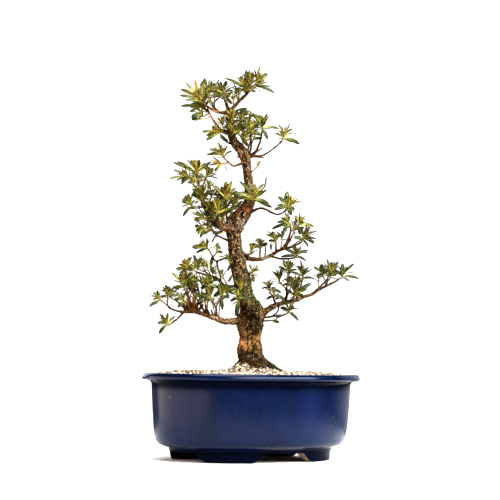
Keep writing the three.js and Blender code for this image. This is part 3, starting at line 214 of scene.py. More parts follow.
# Stubs of cut shoots, knotted together where the low and the upper left branch fork.
CUT_STUBS = [
  [[186, 311, -25, 2], [184.5, 306, -27, 1.6], [183.5, 301.5, -29, 1.1]],
  [[189, 311, -23, 2.6], [187.5, 305, -26, 2], [187.5, 299.5, -28, 1.4]],
  [[191, 311, -22, 2.8], [190.5, 305, -21, 2.2], [189.5, 300, -23, 1.5]],
  [[193, 311, -22, 2.8], [194, 305, -26, 2.2], [193.5, 299, -29, 1.4]],
  [[195, 311.5, -20, 2.6], [197, 306.5, -19, 2], [198.5, 302, -19, 1.3]],
  [[198, 312, -19, 2.2], [201, 308, -22, 1.6], [203.5, 305.5, -24, 1.1]],
  [[209, 316, -14, 2], [208, 311.5, -17, 1.4], [206.5, 308.5, -19, 1]],
  [[218, 226, -10, 2.4], [217, 220, -15, 1.9], [217, 216, -18, 1.3]],
  [[222, 226, -9, 2.2], [222, 220, -14, 1.7], [221, 216.5, -17, 1.1]],
  [[214, 222, -10, 2.2], [212.5, 217, -15, 1.7], [211, 213.5, -18, 1.1]],
]

# Roots that grip the soil: direction in degrees from the front's right, reach, radius.
ROOTS = [
  [-8, 1.3, 6.6], [42, 1, 7], [88, 0.9, 7.5], [138, 1, 6.5], [184, 0.95, 6.8], [232, 1.05, 6.5],
  [286, 0.85, 7],
]
ROOT_CENTRE = [252, 360, 0]
# Along a root: distance out, height, share of its radius.
ROOT_ROUTE = [
  [3, 134, 0.9], [13, 123, 1], [24, 115.5, 0.68], [36, 107, 0.44], [47, 90, 0.22],
]


def head(hub, extra, tips=()):
    """A head of leaves: its hub, how many extra leaves its rule adds, and its drawn leaves' tips."""
    return {"hub": hub, "extra": extra, "tips": tips}


def spray(name, radius, twig, *heads):
    """A woody twig and the heads on green shoots at its end."""
    return {"name": name, "radius": radius, "twig": twig, "heads": heads}


SPRAYS = [
  spray("crown_left", 1.3, [[206, 105.4, -22], [203, 103, -24]],
    head([201.5, 102, -26], 1,
      [[179, 95], [180, 88.5], [185, 82], [205, 77], [209, 85], [195, 79], [184, 100]])),
  spray("crown_left_low", 2.3, [[230, 132, 0], [220, 129.6, -5], [212.8, 119, -10], [209, 111.8, -12]],
    head([204, 108, -12], 1, [[180, 106], [190, 107], [189, 112]]),
    head([203, 116, -18], 0, [[191, 117.5, 6.5], [198, 120], [203, 104]])),
  spray("crown_back_left", 1.6, [[218, 111.6, -10], [214, 107, 6], [212, 103, 18]],
    head([208, 95, 22], 2, [[199, 83], [212, 81], [216, 89]]),
    head([219, 97, 34], 5)),
  spray("crown_middle", 2.5, [[229, 110, 0], [226.6, 105, 3], [224.5, 99.5, 7]],
    head([222.5, 95.5, 9], 1,
      [[213, 82], [218, 81.5], [221.5, 83], [227, 80], [230, 84.5], [209.5, 90], [212, 97], [233, 89],
        [236, 85.5], [232, 104]])),
  spray("crown_right", 1.6, [[243, 96.8, 8], [246, 93.6, 6]],
    head([246, 91, 2], 1, [[224, 77.5], [232, 81], [240, 72], [246.5, 69], [250, 69], [236, 89]]),
    head([255.5, 86.5, 14], 1,
      [[256.5, 73], [260, 74.5], [264, 73.5], [268, 72.5], [271, 86.5], [275, 92.5]])),
  spray("crown_back_right", 1.6, [[236, 104, 3], [243, 98, 18], [248, 93, 32]],
    head([249, 90.5, 36], 5)),
  spray("crown_front", 1.7, [[232, 138, -1], [231, 136, -12]],
    head([233, 134, -20], 1, [[229, 121.5], [233, 122], [236.5, 125], [225, 126], [240.5, 131]]),
    head([222.5, 132.5, -20], 1, [[202, 132], [206.5, 135.5], [206, 140.5], [212, 127]])),
  spray("crown_inner", 1.4, [[230, 123, 0], [236, 121.5, 6], [239.5, 120, 12]],
    head([240.5, 119, 14], 1, [[246, 108], [249.5, 110], [251.5, 118.5], [241, 127.5], [235, 112]])),
  spray("upper_right", 1.5,
    [[248, 156, 2], [255, 152, -1], [259, 145, -6], [261, 138, -12], [262, 132, -16]],
    head([262.3, 129, -18], 1,
      [[253, 114], [259.5, 115], [268, 113], [279.5, 128.5], [255, 123], [268, 139.5]])),
  spray("upper_right_front", 1.4, [[249, 154, 1], [251, 148, -8], [251, 141, -16], [250.5, 137, -22]],
    head([250.4, 131.6, -26], 1, [[257, 121, 8], [241, 124], [262, 136], [240.5, 137, 6]]),
    head([246, 141, -24], 0, [[245, 128], [240, 134], [248, 149]])),
  spray("upper_right_end", 1.1, [[280, 142.8, 17], [282.5, 140.5, 18]],
    head([283, 139, 19], 1, [[278, 124], [274.5, 133], [293, 129], [286, 130], [300, 144.5]])),
  spray("upper_back", 1.7, [[246, 158, 4], [248, 150, 24], [250.5, 141, 42]],
    head([251, 137, 48], 5)),
  spray("upper_left", 1.7, [[243, 163, 0], [238, 165, -10], [233, 166, -16], [228, 162, -21]],
    head([223.5, 157.5, -25], 1, [[209, 149.5], [206, 155], [218.5, 142], [227.5, 146], [233, 151]]),
    head([223.5, 164, -27], 0, [[215, 172]])),
  spray("left_upper_end", 1.4, [[198.6, 186, 4], [197.5, 181, 7]],
    head([197, 176.5, 8], 1,
      [[172, 162.5], [177, 161], [186.5, 159], [190.5, 160],
        [199, 157], [200.5, 161], [205, 163], [212, 161.5]]),
    head([190.5, 178.5, 3], 1, [[169, 179.5], [173, 170], [181, 185]])),
  spray("left_upper_inner", 1.3, [[200, 191, 1], [203, 185, 10], [205, 181, 15]],
    head([205, 179, 17], 1, [[208, 167.5], [213, 168], [216, 178], [210, 190]])),
  spray("left_upper_front", 1.5, [[205.5, 209, -7], [201.5, 207.5, -16]],
    head([201, 201, -22], 1, [[192, 189], [191, 195], [206, 187], [199, 186.5], [211, 193]]),
    head([193, 207, -24], 1, [[184, 197], [181.5, 201.5], [183, 217], [188, 194]])),
  spray("left_upper_back", 1.7, [[204, 204, -5], [202, 196, 18], [200, 188, 36]],
    head([199, 184, 42], 5)),
  spray("fork_tall", 1.6, [[229, 227, -2], [226.5, 216, -16], [226, 206, -24]],
    head([226, 202, -26], 1,
      [[226, 181.5], [229, 186], [232, 181], [212, 187], [220.5, 184], [237.5, 191]])),
  spray("fork_golden", 1.7, [[222, 227, -8], [219.5, 222, -20], [218.5, 218, -28]],
    head([218, 215.5, -32], 1,
      [[213, 200], [217, 198], [221.5, 200], [207, 201.5, 6], [232, 209], [224.5, 202], [209.5, 208]])),
  spray("fork_back", 2, [[237, 221, 4], [232, 214, 30], [226, 207, 50]],
    head([222, 203, 56], 5)),
  spray("trunk_front", 1.6, [[247, 208, -2], [251, 205, -16]],
    head([253, 201, -22], 2,
      [[232, 193.5], [239, 181.5], [241, 192.5], [231, 200], [255, 184], [264, 184], [267, 191.5],
        [272.5, 208], [269, 204.5]])),
  spray("right_high", 1.1, [[284.4, 212, -15], [286, 210.4, -16]],
    head([286.5, 209, -17], 1,
      [[278, 197], [287, 191.5], [292, 195], [275.5, 206],
        [274, 210.5], [295, 210], [292, 216], [294, 203]])),
  spray("left_drooping", 1.7, [[226, 229, -5], [219, 232.6, -16], [213, 231.6, -26]],
    head([205.5, 219, -30], 1, [[196, 215], [193.5, 221], [190, 211]]),
    head([207.5, 229.5, -26], 1, [[194.5, 226], [195.5, 231], [197.5, 235.5], [200, 238.5]])),
  spray("left_pair", 1.4, [[232, 257.5, -3], [223, 259.6, -6], [216, 261.8, -9], [212.4, 257, -12]],
    head([208.5, 250, -14], 1, [[192, 248, 6.5], [202.5, 241.5], [208.5, 241], [196, 254], [200, 244]]),
    head([217, 252.5, -20], 0, [[217, 244.5], [220.5, 247.5], [222.5, 254]])),
  spray("left_mid_end", 1.2, [[200, 273.8, -16], [196.5, 273, -18]],
    head([193, 270.5, -20], 1, [[178.5, 265], [183, 260.5], [187, 262], [175.5, 269.5], [180, 274]]),
    head([190.5, 279, -28], 1, [[182, 285], [190, 292], [198.5, 288], [182.5, 278], [201, 282]])),
  spray("left_mid_back", 1.6, [[214, 278, -10], [210, 276, 8], [205.5, 272.5, 20]],
    head([203, 266.6, 16], 1, [[197, 258.5], [203, 258], [210.5, 263.5], [194, 266]]),
    head([198, 269.5, 36], 5)),
  spray("left_mid_inner", 1.5, [[218.5, 280, -8], [213.5, 281.5, -20], [210.6, 283, -26]],
    head([209, 284, -30], 1, [[200, 279.5], [201.5, 290], [212, 295], [219.5, 289], [208, 273]])),
  spray("trunk_left", 1.5, [[227, 286.8, -6], [223.5, 289.5, -14]],
    head([222.5, 290.5, -18], 1, [[231.5, 286], [221, 298], [233, 293], [241, 288, 5.5], [213.5, 297]])),
  spray("left_low_up", 2.2, [[198, 312, -19], [192.5, 306, -22], [188.5, 300, -24], [187, 296, -24]],
    head([184, 288, -30], 1, [[171.5, 273], [177, 276.5], [182.5, 275.5], [173, 289], [191, 278]]),
    head([190.5, 290, -16], 1, [[197, 292], [197, 282], [193.5, 279]])),
  spray("left_low_front", 1.4, [[193, 312, -21], [188, 307, -30], [186.6, 304.6, -36]],
    head([186, 303, -40], 1, [[176, 294], [174.5, 300], [178, 308], [185, 293]])),
  spray("left_low_end", 1.1, [[171, 309.2, -33], [167, 305.5, -34]],
    head([161.6, 301.2, -36], 1, [[158.5, 291], [156, 296], [149.5, 307.5], [153, 300]]),
    head([168, 297.5, -28], 1, [[172.5, 290], [164, 289.5], [176.5, 296]])),
  spray("left_low_hanging", 1.4, [[184, 312, -26], [178.5, 318.6, -33], [171.5, 324, -38]],
    head([169.5, 325.4, -40], 1,
      [[159.5, 334.5, 6.8], [162.5, 317], [168.5, 313.5], [175.5, 316.5], [158, 324]])),
  spray("left_low_back", 1.7, [[206, 314.6, -15], [201, 306, 12], [194.5, 296, 36]],
    head([191, 291, 42], 5)),
  spray("left_low_far", 1.5, [[187, 312, -24], [181.5, 305.5, 0], [174.5, 300, 16]],
    head([170.5, 298, 24], 5)),
  spray("left_low_stub", 1.5, [[206.5, 314.8, -15], [206, 309, -24], [205.5, 304.6, -30]],
    head([205.4, 303, -31], 0, [[201, 292.5], [207, 292], [198, 301], [211, 300]])),
  spray("left_low_inner", 1.7, [[217, 318.5, -12], [216.4, 312, -20], [216, 307, -26]],
    head([211.5, 299.5, -30], 1, [[205.5, 287.5], [213, 286.5], [203, 297]]),
    head([221, 297.5, -26], 1, [[218, 284.5], [226.5, 287], [229, 299], [222.5, 311]])),
  spray("trunk_sprout", 1.4, [[244, 304, -6], [241, 302, -19]],
    head([239.5, 300, -24], 2,
      [[230.5, 291.5], [236.5, 288.5], [245.5, 291], [230, 302], [249, 300], [237, 317, 5]])),
  spray("trunk_spur", 1.3, [[242, 274, -4], [249, 274.6, -9]],
    head([250.4, 274.2, -11.5], 0, [[248.6, 265.5], [258, 269, 3.4], [253.8, 283]])),
  spray("right_mid_first", 1.3, [[260, 259.5, -1], [260.2, 251, -8]],
    head([260.2, 249, -11], 1, [[255.5, 240], [260, 239.5], [265, 241], [249, 245], [268, 244.5]])),
  spray("right_mid_second", 1.2, [[276, 252.6, -7], [276, 245.4, -17]],
    head([276, 243.6, -20], 1, [[266, 235], [281, 234.5], [272, 232], [268.5, 241]])),
  spray("right_mid_top", 2, [[283, 249.6, -9], [287.4, 242, -10], [289.6, 236, -9], [291, 231, -8]],
    head([290.3, 226, -16], 1, [[277, 223], [281.5, 218.5], [290.5, 217], [271.5, 230], [283, 233]]),
    head([298, 227, 8], 1, [[295, 216], [302.5, 218], [304, 223.5], [314.5, 227], [300, 235.5]])),
  spray("right_mid_back", 1.6, [[284, 249.4, -9], [289, 242.5, 14], [293, 235, 32]],
    head([294, 232, 38], 5)),
  spray("right_mid_end", 1.1, [[299, 244.1, -16], [301.5, 242.4, -18]],
    head([302, 241, -19], 1,
      [[307.5, 228.5], [316.5, 240], [314.5, 244.5], [299, 229], [293.5, 238], [308, 247.5]])),
  spray("right_mid_low", 1.3,
    [[270, 256.6, -5], [280, 259.2, -14], [289, 259.3, -22], [294.6, 258.4, -26]],
    head([296, 257.6, -28], 1,
      [[292.5, 246.5], [308.5, 251], [285.5, 250.5], [280.5, 257.5], [306, 262]])),
  spray("right_low_tall", 1.5, [[296, 300.4, 6], [299.4, 291, 14], [302, 281.5, 20]],
    head([302.6, 279, 22], 1, [[300, 260.5], [309.5, 271], [290.5, 273], [316.5, 280.5], [297, 266]])),
  spray("right_low_middle", 1.6, [[286, 303, 0], [286.6, 295, -8], [286.6, 289, -14]],
    head([280, 283.5, -6], 1, [[258.5, 280], [270, 277], [277, 273.5], [289, 280]]),
    head([288, 274, -20], 1, [[282.5, 260.5], [293.5, 262.5], [278, 267.5], [297, 270]])),
  spray("right_low_inner", 1.5, [[276, 305.4, -3], [274, 300.5, -12], [272.6, 297.5, -17]],
    head([269.3, 290.6, -20], 1, [[266, 282.5], [261.5, 289], [273, 284.5], [281.5, 293]]),
    head([274.5, 298, -26], 0, [[285, 301, 6], [266, 300]])),
  spray("right_low_golden", 1.4, [[290, 301.8, 2], [293, 299, -12]],
    head([294, 297.5, -18], 1,
      [[290.5, 281.5], [295, 280.5], [299.5, 284],
        [311, 284], [307, 289.5], [284, 290], [303.5, 296]])),
  spray("right_low_back", 1.7, [[281, 304, -1], [286.5, 297, 22], [290, 290, 40]],
    head([291, 287, 46], 5)),
  spray("right_low_pair", 1.5, [[326, 285.8, 20], [326.6, 282.5, 18]],
    head([323, 277, 18], 1, [[313, 267.5], [316.5, 276], [321, 264.5], [328.5, 270]]),
    head([330.6, 277.6, 10], 1, [[326.5, 259], [331, 262.5], [334.5, 260.5], [338.5, 262]])),
  spray("right_low_far", 1.4, [[316, 291.4, 16], [323, 284.6, 30], [327.4, 279.6, 40]],
    head([328, 277.4, 44], 5)),
  spray("right_low_end", 1.1, [[337, 280.6, 25], [340.6, 279, 26]],
    head([341.5, 278, 27], 1,
      [[338, 267], [342.5, 264], [348, 266.5], [354, 264], [359, 279.5], [334, 271]])),
  spray("right_low_hanging", 1.4,
    [[256, 316, -3], [266, 318, -6], [273, 316.6, -10], [281, 316.4, -14], [286.4, 314.4, -17]],
    head([288, 313.4, -18], 1, [[284.5, 303.5], [291.5, 304.5], [298.5, 321.5], [280, 308]])),
]

# Small sprigs on the old wood: where each leaves it, its hub, its size and how golden it is.
SPRIGS = [
  ((239, 101, 4), (236.5, 95, 9), 0.7, 0.2), ((202, 106, -10), (199, 101, -18), 0.8, 0.7),
  ((204, 107, -10), (205, 102, -18), 0.75, 0.4), ((200, 100, -10), (206, 93, -18), 0.9, 0.2),
  ((210, 100, -6), (214, 92, -14), 0.85, 0.0), ((234, 106, 0), (233.5, 102, -8), 0.65, 0.5),
  ((240, 100, 0), (239, 96, -8), 0.6, 0.4), ((248, 92, 0), (250, 85, -8), 1.05, 0.4),
  ((246, 94, 0), (244, 87, -8), 0.9, 0.3), ((255, 87, 0), (256, 82, -8), 1.0, 0.35),
  ((228, 132, -4), (223, 127, -14), 0.9, 0.2), ((230, 128, -4), (231, 122, -14), 1.05, 0.55),
  ((232, 136, -4), (231, 132, -16), 1.0, 0.45), ((234, 138, -4), (237, 133, -16), 0.85, 0.3),
  ((229, 116, -3), (240, 117, -10), 0.8, 0.0), ((232, 120, -4), (246, 121, -12), 0.8, 0.0),
  ((243, 144, -2), (247, 137, -12), 0.95, 0.35), ((250, 140, -6), (258, 127, -12), 0.85, 0.35),
  ((214, 110, -12), (210, 103, -20), 0.7, 0.3), ((228, 110, -2), (227, 101, -8), 0.6, 0.1),
  ((231, 129, -3), (239, 123.5, -12), 0.75, 0.1), ((233, 132, 2), (243, 127, 6), 0.7, 0.0),
  ((249, 176, 0), (256.5, 168, -4), 0.4, 0.0), ((206, 208, -8), (211, 199, -18), 0.8, 0.1),
  ((203, 198, -4), (207.5, 191, -10), 0.7, 0.2), ((241, 214, -4), (233, 206, -22), 0.85, 0.2),
  ((226, 227, -6), (224, 219, -22), 0.7, 0.2), ((212, 277, -11), (208, 270.5, -18), 0.65, 0.1),
  ((228, 287, -6), (223.5, 278.5, -12), 0.55, 0.0), ((200, 313, -19), (196, 304, -28), 0.65, 0.2),
  ((204, 314, -17), (202, 303, -24), 0.6, 0.0), ((216, 319, -12), (213.5, 307.5, -18), 0.5, 0.0),
  ((219, 320, -12), (220, 306, -20), 0.65, 0.0), ((281, 250.5, -8), (282, 240.5, -12), 0.7, 0.1),
  ((319, 291, 17), (318.5, 282, 14), 0.55, 0.1), ((271, 320.8, -5), (275, 320.6, -6), 0.4, 0.0),
  ((246, 284, -6), (250.5, 282, -12), 0.4, 0.0), ((216, 224, -12), (217.5, 215, -22), 1.35, 0.6),
  ((206, 214, -12), (208, 212, -26), 0.95, 0.1), ((212, 222, -12), (213, 220, -26), 0.9, 0.2),
  ((204, 208, -12), (203, 205, -22), 0.9, 0.35), ((220, 226, -10), (225, 212, -24), 0.9, 0.1),
  ((226, 216, -10), (226, 200, -20), 1.25, 0.5), ((205, 210, -10), (203, 199, -22), 1.1, 0.35),
  ((231, 218, -10), (233, 210, -22), 0.9, 0.05), ((236, 212, -8), (237, 203, -20), 0.7, 0.0),
  ((212, 222, -10), (209, 213, -22), 0.95, 0.15), ((224, 228, -8), (222, 221, -22), 0.8, 0.0),
  ((214, 232, -6), (209, 223, -14), 0.9, 0.1), ((220, 236, -6), (211, 231, -12), 0.75, 0.05),
  ((204, 185, -6), (207, 177, -14), 0.8, 0.1), ((199, 184, -6), (197, 174, -14), 1.0, 0.8),
  ((192, 290, -22), (187, 269, -26), 0.8, 0.85), ((190, 300, -22), (186, 284, -30), 1.0, 0.7),
  ((194, 300, -22), (193, 286, -28), 0.8, 0.3), ((200, 308, -20), (202, 288, -26), 0.85, 0.05),
  ((206, 310, -18), (210, 287, -24), 0.8, 0.1), ((216, 283, -8), (216, 277, -16), 0.7, 0.0),
  ((284, 213, -8), (289, 209, -14), 0.95, 0.45), ((291, 247, -6), (304, 238, -12), 0.9, 0.45),
  ((294, 300, -10), (295, 290, -18), 1.1, 0.55), ((243, 262, -6), (250, 254, -14), 0.7, 0.0),
  ((230, 268, -8), (229.5, 262, -16), 0.6, 0.0), ((238, 298, -10), (241, 292, -20), 0.95, 0.3),
  ((200, 190, -8), (194, 186, -18), 0.8, 0.3),
]

# Leaves between the heads: where each starts, its tip, its width in mm and its age.
SINGLE_LEAVES = [
  ((233, 111, -4), (247.5, 107.5, -8), 3.6, 0.05), ((197, 97, -20), (194.5, 78.5, -30), 4.6, 1.12),
  ((199, 104, -12), (194, 91, -20), 4.0, 0.85), ((202, 107, -12), (197, 96, -20), 3.6, 0.7),
  ((223, 130, -12), (202, 131, -16), 4.2, 0.0), ((223, 132, -12), (206, 135.5, -16), 4.0, 0.02),
  ((220, 134, -12), (226, 140, -18), 3.6, 0.0), ((247, 88, -4), (256, 91.5, -10), 3.6, 0.35),
  ((250, 90, -4), (240, 89.5, -8), 3.2, 0.05), ((233, 113, -5), (244, 113, -11), 3.8, 0.15),
  ((234, 119, -6), (238, 109, -11), 3.6, 0.3), ((204, 118.5, -13), (191, 119, -16), 4.6, 0.22),
  ((204, 108, -10), (209, 99, -16), 3.6, 0.35), ((202, 110, -10), (204, 99, -15), 3.4, 0.6),
  ((228, 97, 2), (232, 89, -4), 3.6, 0.2), ((248, 84, 0), (253, 74, -4), 3.6, 0.05),
  ((250, 88, 0), (250, 76, -6), 3.4, 0.1), ((238, 132, -8), (248.5, 147, -14), 5.4, 0.06),
  ((252, 139, -6), (263, 138, -12), 4.2, 0.12), ((243, 127, -10), (257, 121, -16), 5.2, 0.0),
  ((238, 131, -8), (250, 124, -15), 5.6, 0.02), ((222, 137, -5), (228, 141, -10), 3.6, 0.05),
  ((256, 198, -10), (266.5, 190, -14), 3.8, 0.1), ((255, 201, -10), (272, 208, -16), 4.2, 0.12),
  ((232, 211, -12), (243, 201, -16), 4.0, 0.12), ((228, 209, -14), (240, 206, -20), 3.8, 0.02),
  ((210, 215, -14), (196, 216, -20), 2.8, 0.05), ((211, 218, -14), (195.5, 221.5, -18), 2.6, 0.1),
  ((212, 222, -13), (197, 228, -18), 2.6, 0.05), ((213, 226, -12), (198.5, 232, -16), 2.8, 0.15),
  ((215, 229, -12), (200, 236, -16), 3.2, 0.1), ((205, 203, -10), (217, 219, -18), 4.0, 0.2),
  ((206, 217, -10), (217, 229, -16), 4.0, 0.1), ((196, 209, -12), (187, 208, -15), 3.4, 0.05),
  ((204, 199, -10), (198, 188, -16), 3.4, 0.4), ((226, 233, -8), (212, 234, -14), 3.8, 0.1),
  ((219, 214, -22), (216.5, 198, -26), 3.8, 0.8), ((219.5, 214, -22), (221, 199, -28), 3.8, 0.9),
  ((218.5, 214, -22), (212, 200, -26), 3.6, 0.4), ((220, 214, -22), (227, 203, -26), 3.6, 0.35),
  ((218, 214, -22), (207, 206, -26), 3.4, 0.12), ((218, 215, -22), (205, 212, -26), 3.4, 0.05),
  ((221, 214, -22), (233, 209, -26), 3.4, 0.12), ((221, 214, -22), (231, 202, -26), 3.4, 0.05),
  ((226, 202, -20), (225, 181, -28), 4.6, 0.95), ((226, 202, -20), (228.5, 184, -28), 4.2, 0.8),
  ((226, 202, -20), (227, 190, -30), 4.0, 0.9), ((219, 215, -24), (218.5, 202, -30), 4.4, 0.75),
  ((227, 202, -18), (232, 180, -22), 3.2, 0.35), ((225, 200, -18), (217, 192, -22), 3.4, 0.05),
  ((222, 196, -16), (206, 194, -20), 3.8, 0.0), ((236, 303, -14), (236, 317, -18), 3.6, 0.1),
  ((246, 297, -14), (256, 298, -18), 3.4, 0.15), ((210, 262, -8), (213, 275, -14), 4.4, 0.05),
  ((211, 268, -8), (212, 257, -14), 4.0, 0.15), ((232, 262, -6), (227.5, 272, -12), 3.6, 0.03),
  ((233, 274, -6), (228.5, 283, -12), 3.6, 0.05), ((200, 297, -22), (197, 284, -28), 4.2, 0.1),
  ((200, 296, -22), (190, 290, -28), 3.8, 0.15), ((226, 292, -12), (236, 295, -18), 3.6, 0.2),
  ((271, 251, -8), (271, 244, -12), 3.4, 0.05), ((287, 277, 2), (292, 270, -2), 3.6, 0.1),
  ((275, 300, -2), (280, 297, -6), 3.4, 0.02), ((271, 321, -5), (279.5, 323, -8), 4.0, 0.02),
]


# ---- Meshes


class Shape:
    """Closed skins that become one mesh, with values at each point for its materials to read."""

    def __init__(self, *labels):
        self.labels = labels
        self.points = []
        self.faces = []
        self.kinds = []
        self.values = []

    def add(self, points, values, faces, kind=0):
        """Adds a skin whose faces count its own points, with a tuple of values for each point."""
        first = len(self.points)
        self.points.extend(points)
        self.values.extend(values)
        self.faces.extend(tuple(first + corner for corner in face) for face in faces)
        self.kinds.extend([kind] * len(faces))

    def loft(self, loops, values=None, kind=0):
        """Adds a skin over loops of points; an end loop of one point is an apex, others are capped.
        values holds a tuple for each loop, or for each point, and kind is the material's number, or
        a number for each face round a loop."""
        first = len(self.points)
        starts = []
        for row, loop in enumerate(loops):
            starts.append(len(self.points))
            self.points.extend(loop)
            if self.labels:
                each = values[row]
                self.values.extend(each if isinstance(each[0], tuple) else [each] * len(loop))
        kinds_round = [kind] * max(len(loop) for loop in loops) if isinstance(kind, int) else kind
        faces, kinds = [], []
        for row in range(len(loops) - 1):
            near, far = len(loops[row]), len(loops[row + 1])
            for i in range(max(near, far)):
                a, b = starts[row] + i % near, starts[row] + (i + 1) % near
                c, d = starts[row + 1] + (i + 1) % far, starts[row + 1] + i % far
                faces.append((a, c, d) if near == 1 else (a, b, c) if far == 1 else (a, b, c, d))
                kinds.append(kinds_round[i])
        for row, step in ((0, -1), (len(loops) - 1, 1)):
            if len(loops[row]) > 2:
                faces.append(tuple(range(starts[row], starts[row] + len(loops[row])))[::step])
                kinds.append(kinds_round[0])
        if self.volume(faces, first) < 0:
            faces = [face[::-1] for face in faces]
        self.faces.extend(faces)
        self.kinds.extend(kinds)

    def volume(self, faces, first):
        """Six times the volume inside some faces, below 0 if they face inwards."""
        origin = self.points[first]
        total = 0
        for face in faces:
            a, b, c = (self.points[corner] - origin for corner in face[:3])
            total += a.dot(b.cross(c))
            if len(face) == 4:
                total += a.dot(c.cross(self.points[face[3]] - origin))
        return total

    def mesh(self, name):
        made = bpy.data.meshes.new(name)
        made.from_pydata([point * MM for point in self.points], [], self.faces)
        for column, label in enumerate(self.labels):
            attribute = made.attributes.new(label, "FLOAT", "POINT")
            attribute.data.foreach_set("value", [each[column] for each in self.values])
        made.polygons.foreach_set("material_index", self.kinds)
        return made


def linked(name, data):
    """A new object in the scene, for a mesh, a light or a camera."""
    made = bpy.data.objects.new(name, data)
    bpy.context.scene.collection.objects.link(made)
    return made


def loose(name, shape):
    """An object to work on, not yet a piece."""
    return linked(name, shape.mesh(name))


def made_mesh(work):
    """A work object's mesh with its modifiers carried out."""
    evaluated = work.evaluated_get(bpy.context.evaluated_depsgraph_get())
    return bpy.data.meshes.new_from_object(evaluated)


def stand_in(name, mesh, slot, materials, *nodes, sharp=None):
    """A piece of the object: it rides on the part's one body and stands for these nodes of it."""
    for material in materials:
        mesh.materials.append(material)
    mesh.polygons.foreach_set("use_smooth", [True] * len(mesh.polygons))
    if sharp:
        mesh.set_sharp_from_angle(angle=math.radians(sharp))
    mesh.update()
    made = linked(name, mesh)
    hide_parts(*nodes)
    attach(made, "root")


def spline(stations, share):
    """A smooth way through rows of numbers, at a share of its way from 0 to the last row."""
    last = len(stations) - 1
    row = min(int(share), last - 1)
    t = share - row
    rows = [stations[min(max(row + step, 0), last)] for step in (-1, 0, 1, 2)]
    return [
        0.5 * (2 * b + (c - a) * t + (2 * a - 5 * b + 4 * c - d) * t * t + (3 * b - a - 3 * c + d) * t**3)
        for a, b, c, d in zip(*rows)
    ]


def smooth_route(stations, steps):
    """A smooth route through stations of x, y, z and radius, as its points and its radii."""
    rows = [spline(stations, i / steps) for i in range((len(stations) - 1) * steps + 1)]
    return [Vector(row[:3]) for row in rows], [row[3] for row in rows]


def tube(route, radii, sides, relief=None):
    """Loops round a route of points; relief gives a share of the radius at an angle and a point."""
    loops = []
    last = len(route) - 1
    side = None
    for i, at in enumerate(route):
        axis = (route[min(i + 1, last)] - route[max(i - 1, 0)]).normalized()
        if side is None:
            side = UP if abs(axis.z) < 0.8 else RIGHT
        side = square_to(side, axis)
        across = axis.cross(side)
        loop = []
        for k in range(sides):
            angle = TURN * k / sides
            reach = radii[i] * (relief(angle, i) if relief else 1)
            loop.append(at + side * (reach * math.cos(angle)) + across * (reach * math.sin(angle)))
        loops.append(loop)
    return loops


def search_tree(points):
    """A tree that finds the nearest of some points, with its place in their order."""
    tree = KDTree(len(points))
    for i, point in enumerate(points):
        tree.insert(point, i)
    tree.balance()
    return tree


# ---- Materials


